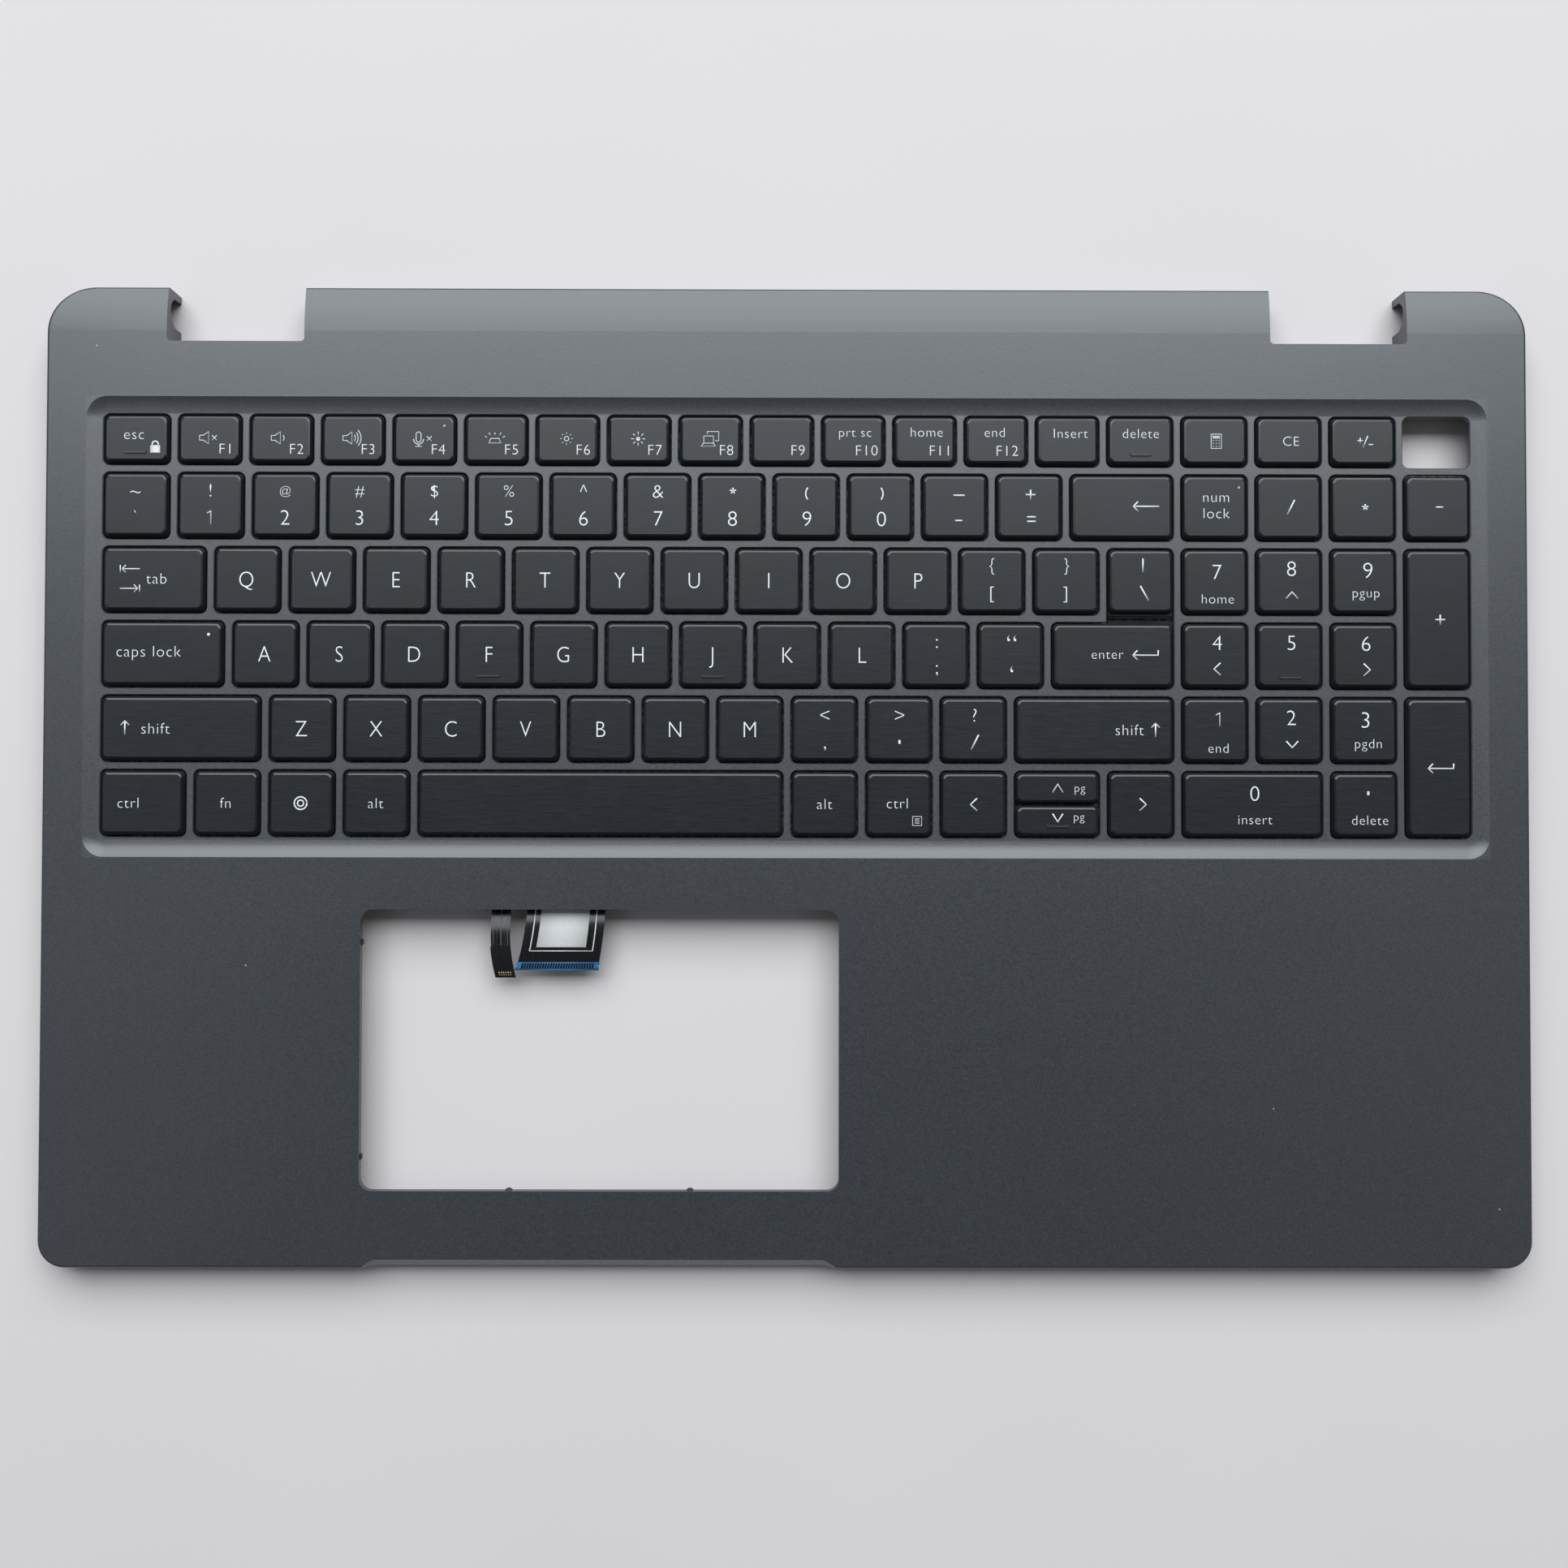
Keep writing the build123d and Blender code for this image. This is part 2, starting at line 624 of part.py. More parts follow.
def stabiliser_wire(span, depth):
    """Make a bent wire: a bar along X under the cap, and two arms down to inturned feet on the membrane."""
    bar_y = -(depth / 2 - key_wall - wire_gap - wire_radius)
    bar_z = key_ceiling - wire_gap - wire_radius
    foot_z = dome_seat + wire_gap / 2 + wire_radius
    arm_x = span / 2 - key_wall - wire_arm_inset
    arm_y = bar_y + wire_arm_run
    with BuildPart() as wire:
        with BuildLine() as route:
            FilletPolyline((-arm_x + wire_foot, arm_y, foot_z), (-arm_x, arm_y, foot_z),
                           (-arm_x, bar_y, bar_z), (arm_x, bar_y, bar_z), (arm_x, arm_y, foot_z),
                           (arm_x - wire_foot, arm_y, foot_z), radius=wire_bend_radius)
        with BuildSketch(Plane(origin=route.line @ 0, z_dir=route.line % 0)):
            Circle(wire_radius)
        sweep()
    return wire.part


wires = []
for name, (x, y, width, depth) in caps.items():
    wide = width + lattice_bar + 2 * key_clearance > wired_key_units * key_pitch - key_clearance
    if name in tall_keys:
        wires.append(stabiliser_wire(depth, width).moved(Location((x, y, 0), (0, 0, 90))))
    elif wide:
        wires.append(stabiliser_wire(width, depth).moved(Location((x, y, 0))))
stabiliser_wires = Compound(children=wires)

# The keyboard's wide ribbon leaves the membrane's front edge, crosses the plate and bows up and down again
# to its tip, where it drifts to the left and grows wider
ribbon_z = plate_top + membrane_thickness / 2
ribbon_sheet_width = ribbon_width - 2 * ribbon_left_drift
with BuildPart() as keyboard_ribbon:
    with BuildLine(Plane.YZ) as ribbon_path:
        FilletPolyline((block_front, ribbon_z), (block_front - ribbon_foot_run, ribbon_z),
                       (block_front - ribbon_crest[0], ribbon_z + ribbon_crest[1]),
                       (block_front - ribbon_tip[0], ribbon_z + ribbon_tip[1]),
                       radius=[ribbon_foot_radius, ribbon_crest_radius])
    ribbon_root = Plane(origin=(ribbon_centre, block_front, ribbon_z), x_dir=(1, 0, 0), z_dir=(0, -1, 0))
    with BuildSketch(ribbon_root):
        Rectangle(ribbon_sheet_width, membrane_thickness)
    sweep(path=ribbon_path.line.moved(Location((ribbon_centre, 0, 0))))
    ribbon_left = ribbon_centre - ribbon_width / 2
    ribbon_right = ribbon_centre + ribbon_width / 2
    flare_y = block_front - ribbon_flare_start
    tip_y = block_front - ribbon_tip[0] - membrane_thickness
    with BuildSketch():
        with BuildLine():
            Polyline((ribbon_left, flare_y), (ribbon_left, block_front), (ribbon_right, block_front),
                     (ribbon_right, flare_y))
            tip_left = (ribbon_left + ribbon_left_drift, tip_y)
            tip_right = (ribbon_right + ribbon_right_drift, tip_y)
            TangentArc((ribbon_left, flare_y), tip_left, tangent=(0, -1))
            TangentArc((ribbon_right, flare_y), tip_right, tangent=(0, -1))
            Line(tip_left, tip_right)
        make_face()
    extrude(amount=cover_height, mode=Mode.INTERSECT)

tip_centre = ribbon_centre + (ribbon_left_drift + ribbon_right_drift) / 2
tip_plane = Plane(origin=Vector(tip_centre, 0, 0) + ribbon_path.line @ 1, x_dir=(1, 0, 0),
                  z_dir=ribbon_path.line % 1)
with BuildPart() as ribbon_stiffener:
    with BuildSketch(tip_plane):
        with Locations((0, (membrane_thickness + stiffener_thickness) / 2)):
            Rectangle(stiffener_width, stiffener_thickness)
    extrude(amount=-stiffener_length)

# The backlight's narrow lead leaves the panel's front edge and hangs beside the ribbon
lead_z = plate_bottom - backlight_thickness / 2
lead_points = [(block_front - forward, lead_z + up) for forward, up in lead_route]
lead_radii = []
for before, corner, after in zip(lead_points, lead_points[1:], lead_points[2:]):
    first = Vector(*corner) - Vector(*before)
    second = Vector(*after) - Vector(*corner)
    half_turn = first.get_angle(second) / 2
    bend_run = lead_bend_share * min(first.length, second.length)
    lead_radii.append(bend_run / Vector(1, 0).rotate(Axis.Z, half_turn).Y)
with BuildPart() as backlight_lead:
    with BuildLine(Plane.YZ) as lead_path:
        FilletPolyline(*lead_points, radius=lead_radii)
    lead_root = Plane(origin=(lead_centre, block_front, lead_z), x_dir=(1, 0, 0), z_dir=(0, -1, 0))
    with BuildSketch(lead_root):
        Rectangle(lead_width, lead_thickness)
    sweep(path=lead_path.line.moved(Location((lead_centre, 0, 0))))
print("lead length", round(lead_path.wire().length, 2))


def keycap(width, depth, homing):
    """Make one hollow keycap with sloped walls and faceted top edges, at its rest height over the origin."""
    corner = opening_corner_radius - key_clearance
    with BuildPart() as cap:
        with BuildSketch(Plane.XY.offset(key_bottom)):
            RectangleRounded(width, depth, corner)
        extrude(amount=key_height - key_slope_height)
        facet_width = width - 2 * key_side_slope
        facet_depth = depth - 2 * key_end_slope
        with BuildSketch(Plane.XY.offset(key_top - key_slope_height)):
            RectangleRounded(width, depth, corner)
        with BuildSketch(Plane.XY.offset(key_top - key_facet_height)):
            RectangleRounded(facet_width, facet_depth, corner)
        loft(ruled=True)
        with BuildSketch(Plane.XY.offset(key_top - key_facet_height)):
            RectangleRounded(facet_width, facet_depth, corner)
        with BuildSketch(Plane.XY.offset(key_top)):
            RectangleRounded(facet_width - 2 * key_facet_width, facet_depth - 2 * key_facet_width,
                             key_top_corner_radius)
        loft(ruled=True)
        with BuildSketch(Plane.XY.offset(key_bottom)):
            RectangleRounded(width - 2 * key_wall, depth - 2 * key_wall, corner - key_wall)
        extrude(amount=key_height - key_roof, mode=Mode.SUBTRACT)
        if homing:
            with BuildSketch(Plane.XY.offset(key_top)):
                with Locations((0, -depth / 2 + homing_bar_inset)):
                    SlotOverall(homing_bar_length, homing_bar_width)
            extrude(amount=homing_bar_height)
    return cap.part


def skirted(cap, wall_y, side, middle_x, width):
    """Add a stepped skirt to one side of a keycap, where no lattice bar parts it from the next key."""
    with BuildPart() as key:
        add(cap)
        for reach, height in skirt_steps:
            with BuildSketch(Plane.XY.offset(key_bottom)):
                rectangle_between(middle_x - width / 2, min(wall_y - side * key_wall, wall_y + side * reach),
                                  middle_x + width / 2, max(wall_y - side * key_wall, wall_y + side * reach))
            extrude(amount=height)
    return key.part


made_caps = {}


def key_at(name):
    """Make a named keycap in its place, from one cap of each size."""
    x, y, width, depth = caps[name]
    form = (width, depth, name in homing_keys)
    if form not in made_caps:
        made_caps[form] = keycap(*form)
    key = made_caps[form].moved(Location((x, y, 0)))
    shared_x, shared_y, shared_width, shared_depth = caps["backslash"]
    if name == "backslash":
        return skirted(key, shared_y - shared_depth / 2, -1, shared_x, shared_width)
    if name == "enter":
        return skirted(key, y + depth / 2, 1, shared_x, shared_width)
    return key


def key_group(names):
    """Make a row of keycaps as one group of separate solids."""
    return Compound(children=[key_at(name) for name in names])


moving_keys = [name for name, _ in upper_row + home_row + lower_row]
moving_keys += ["space", "left_arrow", "up_arrow", "down_arrow", "right_arrow"]
pieces = {
    "upper_cover": upper_cover.part,
    "support_plate": support_plate.part,
    "switch_membrane": switch_membrane.part,
    "backlight_panel": backlight_panel.part,
    "keyboard_screws": keyboard_screws.part,
    "threaded_inserts": threaded_inserts.part,
    "rubber_domes": rubber_domes.part,
    "scissor_guides": scissor_guides,
    "stabiliser_wires": stabiliser_wires,
    "keyboard_ribbon": keyboard_ribbon.part,
    "ribbon_stiffener": ribbon_stiffener.part,
    "backlight_lead": backlight_lead.part,
    "function_row_keys": key_group(name for name, _ in function_row),
    "number_row_keys": key_group(name for name, _ in number_row),
    "number_pad_keys": key_group(name for row in pad_rows for name, _ in row),
    "modifier_keys": key_group(fixed_modifiers),
}
pieces |= {f"key_{name}": key_at(name) for name in moving_keys}

os.makedirs("parts", exist_ok=True)
for name, piece in pieces.items():
    piece.label = name
    export_step(piece, f"parts/{name}.step")
print(len(pieces), "pieces", "cover", round(cover_width, 2), round(cover_depth, 2), round(cover_height, 2))
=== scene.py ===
"""Looks of a laptop's upper cover with its keyboard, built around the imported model.

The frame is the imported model's own: +X to the right of the keyboard, +Y to the hinge side, +Z up through
the keys, in metres. Sizes are written in millimetres and multiplied by MM where Blender takes them.
"""

import json
import logging
import math
from collections.abc import Iterator
from contextlib import contextmanager
from dataclasses import dataclass, field
from enum import Enum

import bpy
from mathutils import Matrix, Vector

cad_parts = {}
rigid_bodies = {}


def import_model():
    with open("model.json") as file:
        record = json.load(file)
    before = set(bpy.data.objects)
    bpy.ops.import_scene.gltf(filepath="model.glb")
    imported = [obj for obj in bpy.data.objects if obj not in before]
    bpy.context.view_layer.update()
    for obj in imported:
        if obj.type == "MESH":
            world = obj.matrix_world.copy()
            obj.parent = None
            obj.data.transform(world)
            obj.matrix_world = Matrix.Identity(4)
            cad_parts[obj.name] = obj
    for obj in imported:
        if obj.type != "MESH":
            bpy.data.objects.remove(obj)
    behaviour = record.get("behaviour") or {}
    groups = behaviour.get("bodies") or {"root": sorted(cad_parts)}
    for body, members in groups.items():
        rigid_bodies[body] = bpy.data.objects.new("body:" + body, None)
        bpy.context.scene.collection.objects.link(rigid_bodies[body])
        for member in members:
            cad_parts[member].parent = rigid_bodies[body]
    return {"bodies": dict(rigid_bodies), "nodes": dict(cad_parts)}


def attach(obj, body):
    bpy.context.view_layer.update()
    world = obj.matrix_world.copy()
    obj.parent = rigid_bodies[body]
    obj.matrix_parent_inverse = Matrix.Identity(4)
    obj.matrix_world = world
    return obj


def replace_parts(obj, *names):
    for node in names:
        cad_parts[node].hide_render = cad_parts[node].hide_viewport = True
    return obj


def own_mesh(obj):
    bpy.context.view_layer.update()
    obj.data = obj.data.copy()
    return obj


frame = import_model()

LOG = logging.getLogger("keyboard_cover")
MM = 0.001
DOUBLE = 0.0005
ROOT = "root"
Colour = tuple[float, float, float]
Point = tuple[float, float]
Line = list[Point]
Size = tuple[float, float, float]
Box = tuple[float, float, float, float]
Piece = bpy.types.Object
Value = "Shade | float"


def flat(colour: Colour) -> tuple[float, float, float, float]:
    """Return a colour with full alpha."""
    return (*colour, 1.0)


class Shade:
    """One value in a material's nodes, which takes Python arithmetic."""

    def __init__(self, graph: "Graph", socket: bpy.types.NodeSocket) -> None:
        """Keep the socket and the graph that it belongs to."""
        self.graph = graph
        self.socket = socket

    def _math(self, operation: str, first: Value, second: Value) -> "Shade":
        """Add a Math node with this operation and return its result."""
        return self.graph.out(self.graph.node("Math", {"operation": operation}, {0: first, 1: second}))

    def __add__(self, other: Value) -> "Shade":
        """Add."""
        return self._math("ADD", self, other)

    __radd__ = __add__

    def __sub__(self, other: Value) -> "Shade":
        """Subtract."""
        return self._math("SUBTRACT", self, other)

    def __rsub__(self, other: float) -> "Shade":
        """Subtract from a number."""
        return self._math("SUBTRACT", other, self)

    def __mul__(self, other: Value) -> "Shade":
        """Multiply."""
        return self._math("MULTIPLY", self, other)

    __rmul__ = __mul__

    def over(self, other: Value) -> "Shade":
        """Return the larger of two values."""
        return self._math("MAXIMUM", self, other)

    def ramp(self, low: float, high: float) -> "Shade":
        """Rise smoothly from 0 at low to 1 at high.

        Args:
            low: Where the rise starts; above high, the value falls instead.
            high: Where it ends.

        Returns:
            A value from 0 to 1.
        """
        settings = {"interpolation_type": "SMOOTHSTEP"}
        inputs = {"Value": self, "From Min": min(low, high), "From Max": max(low, high)}
        inputs |= {"To Min": float(low > high), "To Max": float(low <= high)}
        return self.graph.out(self.graph.node("MapRange", settings, inputs))


class Graph:
    """The nodes of one material, with a Principled shader at their end."""

    def __init__(self, name: str) -> None:
        """Start a material with this name."""
        self.material = bpy.data.materials.new(name)
        self.material.use_nodes = True
        self.tree = self.material.node_tree
        self.shader = self.tree.nodes["Principled BSDF"]
        place = self.node("TexCoord")
        self.where = self.out(place, "Object")
        self.facing = self.out(place, "Normal")

    def node(self, kind: str, settings: dict | None = None, inputs: dict | None = None) -> bpy.types.Node:
        """Add a node.

        Args:
            kind: The node's type, without its ShaderNode prefix.
            settings: Its own settings, set before its sockets.
            inputs: Values or links for its sockets, by name or number.

        Returns:
            The new node.
        """
        made = self.tree.nodes.new("ShaderNode" + kind)
        for name, value in (settings or {}).items():
            setattr(made, name, value)
        self.feed(made, inputs or {})
        return made

    def feed(self, node: bpy.types.Node, inputs: dict) -> None:
        """Set or link a node's sockets.

        Args:
            node: The node to feed.
            inputs: Values or links by socket name or number.
        """
        for name, value in inputs.items():
            if isinstance(value, Shade):
                self.tree.links.new(value.socket, node.inputs[name])
            else:
                node.inputs[name].default_value = value

    def out(self, node: bpy.types.Node, name: str | int = 0) -> Shade:
        """Return one of a node's results."""
        return Shade(self, node.outputs[name])

    def axis(self, name: str) -> Shade:
        """Return the X, Y or Z place on the object, in metres."""
        return self.out(self.node("SeparateXYZ", inputs={0: self.where}), name)

    def upward(self) -> Shade:
        """Return how far the surface faces up: 1 on a level top, 0 on an upright wall."""
        return self.out(self.node("SeparateXYZ", inputs={0: self.facing}), "Z")

    def noise(self, size: Size, detail: float = 2.0, rough: float = 0.5) -> Shade:
        """Make a noise whose blobs have this size.

        Args:
            size: Size of a blob along X, Y and Z, in millimetres.
            detail: Number of finer layers.
            rough: Share of the finer layers.

        Returns:
            A value around one half.
        """
        stretch = tuple(1.0 / (one * MM) for one in size)
        mapped = self.out(self.node("Mapping", inputs={"Vector": self.where, "Scale": stretch}))
        inputs = {"Vector": mapped, "Scale": 1.0, "Detail": detail, "Roughness": rough}
        return self.out(self.node("TexNoise", inputs=inputs), "Fac")

    def mix(self, share: Shade, first: "Colour | Shade", second: "Colour | Shade") -> Shade:
        """Blend two colours.

        Args:
            share: 0 gives the first colour, 1 the second.
            first: The first colour.
            second: The second colour.

        Returns:
            The blended colour.
        """
        pair = [one if isinstance(one, Shade) else flat(one) for one in (first, second)]
        node = self.node("Mix", {"data_type": "RGBA"}, {0: share, 6: pair[0], 7: pair[1]})
        return self.out(node, 2)

    def dent(self, height: Shade, depth: float) -> Shade:
        """Turn a height into a bump.

        Args:
            height: The height pattern, from 0 to 1.
            depth: Its depth in millimetres.

        Returns:
            The bumped normal.
        """
        inputs = {"Strength": 1.0, "Distance": depth * MM, "Height": height}
        return self.out(self.node("Bump", inputs=inputs))

    def finish(self, inputs: dict) -> bpy.types.Material:
        """Feed the shader and return the material."""
        self.feed(self.shader, inputs)
        return self.material


@dataclass(frozen=True)
class CoverPlastic:
    """Moulded grey plastic with a fine leather grain, a paler key lattice and a few pale nicks."""

    low: Colour = (0.028, 0.032, 0.038)
    high: Colour = (0.048, 0.053, 0.061)
    lattice_low: Colour = (0.046, 0.050, 0.057)
    lattice_high: Colour = (0.074, 0.079, 0.088)
    nick: Colour = (0.42, 0.43, 0.44)
    grain: float = 0.42
    grain_depth: float = 0.016
    grain_share: float = 0.75
    cloud: float = 35.0
    rough_low: float = 0.27
    rough_spread: float = 0.14
    recess: Box = (-171.0, -20.0, 171.0, 92.1)
    recess_fade: float = 0.6
    top: float = 9.0
    nicks: tuple[Point, ...] = ((-131.2, -46.4), (118.2, -80.8), (173.0, -105.0), (-168.8, 104.7))
    nick_radius: float = 0.45
    nick_core: float = 0.2
    nick_wobble: float = 0.3

    def inside(self, g: Graph) -> Shade:
        """Return 1 in the key recess and 0 on the rest of the cover."""
        left, front, right, rear = (edge * MM for edge in self.recess)
        soft = self.recess_fade * MM
        across = g.axis("X").ramp(left - soft, left) * g.axis("X").ramp(right + soft, right)
        along = g.axis("Y").ramp(front - soft, front) * g.axis("Y").ramp(rear + soft, rear)
        return across * along

    def material(self) -> bpy.types.Material:
        """Build the material."""
        g = Graph("cover_plastic")
        grain = g.noise((self.grain,) * 3, rough=0.6)
        cloud = g.noise((self.cloud,) * 3)
        tone = grain.ramp(0.3, 0.72) * self.grain_share + cloud * (1.0 - self.grain_share)
        spots = None
        for x, y in self.nicks:
            place = (x * MM, y * MM, self.top * MM)
            apart = g.node("VectorMath", {"operation": "DISTANCE"}, {0: g.where, 1: place})
            reach = g.out(apart, "Value") + grain * (self.nick_wobble * MM)
            spot = reach.ramp(self.nick_radius * MM, self.nick_core * MM)
            spots = spot if spots is None else spots.over(spot)
        skin = g.mix(tone, self.low, self.high)
        lattice = g.mix(tone, self.lattice_low, self.lattice_high)
        return g.finish({
            "Base Color": g.mix(spots, g.mix(self.inside(g), skin, lattice), self.nick),
            "Roughness": grain * self.rough_spread + self.rough_low,
            "Normal": g.dent(grain, self.grain_depth),
            "Specular IOR Level": 1.0,
        })


@dataclass(frozen=True)
class KeyPlastic:
    """Dark coated plastic with fine streaks along the key rows and glossy edge facets; its walls carry
    near-black painted shade.
    """

    low: Colour = (0.0045, 0.0064, 0.0086)
    high: Colour = (0.0100, 0.0130, 0.0165)
    # side: colour of the key walls, near-black painted shade.
    side: Colour = (0.0012, 0.0013, 0.0015)
    facet: tuple[float, float] = (8.56, 8.745)
    facet_fade: float = 0.01
    facet_gloss: float = 0.14
    wall_fade: float = 0.05
    wall_rough: float = 0.5
    streak: Size = (4.5, 0.28, 0.28)
    streak_depth: float = 0.006
    streak_share: float = 0.6
    fine: float = 0.22
    patch: Size = (16.0, 9.0, 9.0)
    rough_low: float = 0.22
    rough_streak: float = 0.16
    rough_fine: float = 0.08

    def material(self) -> bpy.types.Material:
        """Build the material."""
        g = Graph("key_plastic")
        streak = g.noise(self.streak, 3.0, 0.55)
        fine = g.noise((self.fine,) * 3, 1.0)
        patch = g.noise(self.patch)
        tone = streak.ramp(0.25, 0.75) * self.streak_share + patch * (1.0 - self.streak_share)
        height = g.axis("Z")
        foot, head = (level * MM for level in self.facet)
        # Painted shade: the walls below the edge facets are mixed to the near-black side colour and made
        # rougher.
        shaded_wall = height.ramp(foot, foot - self.wall_fade * MM) * g.upward().ramp(0.95, 0.8)
        below = height.ramp(head, head - self.facet_fade * MM)
        rough = streak * self.rough_streak + fine * self.rough_fine + self.rough_low
        return g.finish({
            "Base Color": g.mix(shaded_wall, g.mix(tone, self.low, self.high), self.side),
            "Roughness": rough - below * self.facet_gloss + shaded_wall * self.wall_rough,
            "Normal": g.dent(streak * 0.7 + fine * 0.3, self.streak_depth),
            "Specular IOR Level": 0.6,
        })


@dataclass(frozen=True)
class Coating:
    """A plain film, paint or moulding whose tone and gloss wander a little."""

    name: str
    low: Colour
    high: Colour
    roughness: float
    grain: Size
    depth: float = 0.005
    metallic: float = 0.0
    spread: float = 0.12

    def material(self) -> bpy.types.Material:
        """Build the material."""
        g = Graph(self.name)
        grain = g.noise(self.grain, 3.0, 0.55)
        return g.finish({
            "Base Color": g.mix(grain.ramp(0.25, 0.75), self.low, self.high),
            "Roughness": grain * self.spread + (self.roughness - self.spread / 2),
            "Normal": g.dent(grain, self.depth),
            "Metallic": self.metallic,
        })


@dataclass(frozen=True)
class PrintedFilm:
    """The switch membrane: pale film with dark tracks printed across it."""

    film: Colour = (0.34, 0.36, 0.35)
    track: Colour = (0.09, 0.10, 0.10)
    pitch: float = 2.4

    def material(self) -> bpy.types.Material:
        """Build the material."""
        g = Graph("membrane_film")
        spread = {"Vector": g.where, "Scale": 1.0 / (self.pitch * MM)}
        cell = g.out(g.node("TexVoronoi", {"feature": "DISTANCE_TO_EDGE"}, spread), "Distance")
        tracks = cell.ramp(0.16, 0.08)
        return g.finish({
            "Base Color": g.mix(tracks, self.film, self.track),
            "Roughness": tracks * 0.2 + 0.4,
            "Normal": g.dent(tracks, 0.01),
        })


@dataclass(frozen=True)
class FloorPaper:
    """A pale seamless sheet under the cover."""

    low: Colour = (0.80, 0.752, 0.745)
    high: Colour = (0.83, 0.780, 0.772)
    cloud: float = 90.0

    def material(self) -> bpy.types.Material:
        """Build the material."""
        g = Graph("floor_paper")
        cloud = g.noise((self.cloud,) * 3)
        return g.finish({
            "Base Color": g.mix(cloud, self.low, self.high),
            "Roughness": 0.9,
            "Specular IOR Level": 0.2,
        })


class Finish(Enum):
    """Every finish on the object."""

    COVER = CoverPlastic()
    KEY = KeyPlastic()
    MEMBRANE = PrintedFilm()
    FLOOR = FloorPaper()
    PLATE = Coating(
        "plate_steel", (0.06, 0.062, 0.065), (0.11, 0.112, 0.115), 0.4, (20.0, 0.3, 0.3), 0.01, 0.9)
    PANEL = Coating("light_panel", (0.012, 0.012, 0.013), (0.022, 0.022, 0.024), 0.5, (1.5, 1.5, 1.5))
    SCREW = Coating("screw_steel", (0.30, 0.30, 0.31), (0.44, 0.44, 0.45), 0.32, (0.5, 0.5, 0.5), 0.01, 1.0)
    BRASS = Coating("insert_brass", (0.55, 0.38, 0.14), (0.72, 0.53, 0.24), 0.3, (0.6, 0.6, 0.2), 0.01, 1.0)
    RUBBER = Coating("dome_rubber", (0.36, 0.36, 0.34), (0.46, 0.46, 0.44), 0.55, (0.8, 0.8, 0.8))
    GUIDE = Coating("guide_plastic", (0.05, 0.05, 0.055), (0.085, 0.085, 0.09), 0.45, (0.6, 0.6, 0.6))
    WIRE = Coating("wire_steel", (0.40, 0.40, 0.41), (0.55, 0.55, 0.55), 0.25, (3.0, 0.2, 0.2), 0.005, 1.0)
    INK = Coating("legend_ink", (0.90, 0.90, 0.90), (0.98, 0.98, 0.98), 0.4, (0.25, 0.25, 0.25), 0.004)
    # The homing ridges' paler tone is painted highlight along their rounded tops.
    RIDGE = Coating(
        "homing_ridge", (0.045, 0.049, 0.055), (0.065, 0.069, 0.075), 0.22, (1.5, 0.3, 0.3), 0.002)
    RIBBON = Coating("ribbon_film", (0.007, 0.008, 0.010), (0.016, 0.017, 0.019), 0.2, (0.3, 9.0, 3.0), 0.002)
    TRACK = Coating("lead_track", (0.10, 0.105, 0.11), (0.16, 0.165, 0.17), 0.3, (0.3, 4.0, 1.0), 0.003)
    BLUE = Coating("stiffener_film", (0.045, 0.19, 0.42), (0.065, 0.25, 0.50), 0.4, (1.2, 1.2, 1.2))
    PAPER = Coating("label_paper", (0.66, 0.66, 0.65), (0.78, 0.78, 0.77), 0.7, (0.3, 0.3, 0.3), 0.01)
    CARBON = Coating("contact_carbon", (0.006, 0.012, 0.024), (0.014, 0.026, 0.048), 0.4, (0.2, 0.6, 0.2))
    GOLD = Coating("contact_gold", (0.62, 0.43, 0.14), (0.78, 0.58, 0.24), 0.3, (0.2, 0.6, 0.2), 0.004, 1.0)

    def made(self) -> bpy.types.Material:
        """Return this finish's material, built on first use."""
        name = getattr(self.value, "name", "") or self.name.lower()
        key = f"finish_{name}"
        found = bpy.data.materials.get(key)
        if found is None:
            found = self.value.material()
            found.name = key
        return found


def only(*objects: Piece) -> None:
    """Select these objects and nothing else, with the last one active."""
    bpy.ops.object.select_all(action="DESELECT")
    for one in objects:
        one.select_set(True)
    bpy.context.view_layer.objects.active = objects[-1]


@contextmanager
def editing(piece: Piece) -> Iterator[None]:
    """Edit a piece's mesh, with all of it selected."""
    only(piece)
    bpy.ops.object.mode_set(mode="EDIT")
    bpy.ops.mesh.select_all(action="SELECT")
    yield
    bpy.ops.object.mode_set(mode="OBJECT")


def merged(*objects: Piece) -> Piece:
    """Join objects into one, with its place in its mesh and its doubles merged.

    Args:
        objects: Mesh objects; the last one takes the others in.

    Returns:
        The joined object.
    """
    only(*objects)
    if len(objects) > 1:
        bpy.ops.object.join()
    piece = bpy.context.object
    bpy.ops.object.transform_apply(location=True, rotation=True, scale=True)
    with editing(piece):
        bpy.ops.mesh.remove_doubles(threshold=DOUBLE * MM)
    return piece


def meshed(piece: Piece) -> Piece:
    """Turn a curve into a mesh with its place in it."""
    only(piece)
    bpy.ops.object.convert(target="MESH")
    bpy.ops.object.transform_apply(location=True, rotation=True, scale=True)
    return bpy.context.object


def smoothed(piece: Piece, degrees: float = 35.0) -> Piece:
    """Shade a piece smooth, except over edges that are sharper than this angle."""
    only(piece)
    bpy.ops.object.shade_smooth_by_angle(angle=math.radians(degrees))
    return piece


def mount(piece: Piece, name: str, finish: Finish, body: str = ROOT) -> Piece:
    """Name a piece, dress it and let it ride on a body.

    Args:
        piece: The finished piece.
        name: Its name.
        finish: Its finish.
        body: The body that carries it.

    Returns:
        The piece.
    """
    piece.name = name
    piece.data.materials.clear()
    piece.data.materials.append(finish.made())
    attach(piece, body)
    LOG.info("%s rides on %s", name, body)
    return piece


@dataclass(frozen=True)
class Key:
    """A keycap's place and size on the cover, in millimetres."""

    name: str
    x: float
    y: float
    width: float
    depth: float

    def holds(self, x: float, y: float) -> bool:
        """Say whether a point lies in this key's plan."""
        return abs(x - self.x) <= self.width / 2 and abs(y - self.y) <= self.depth / 2


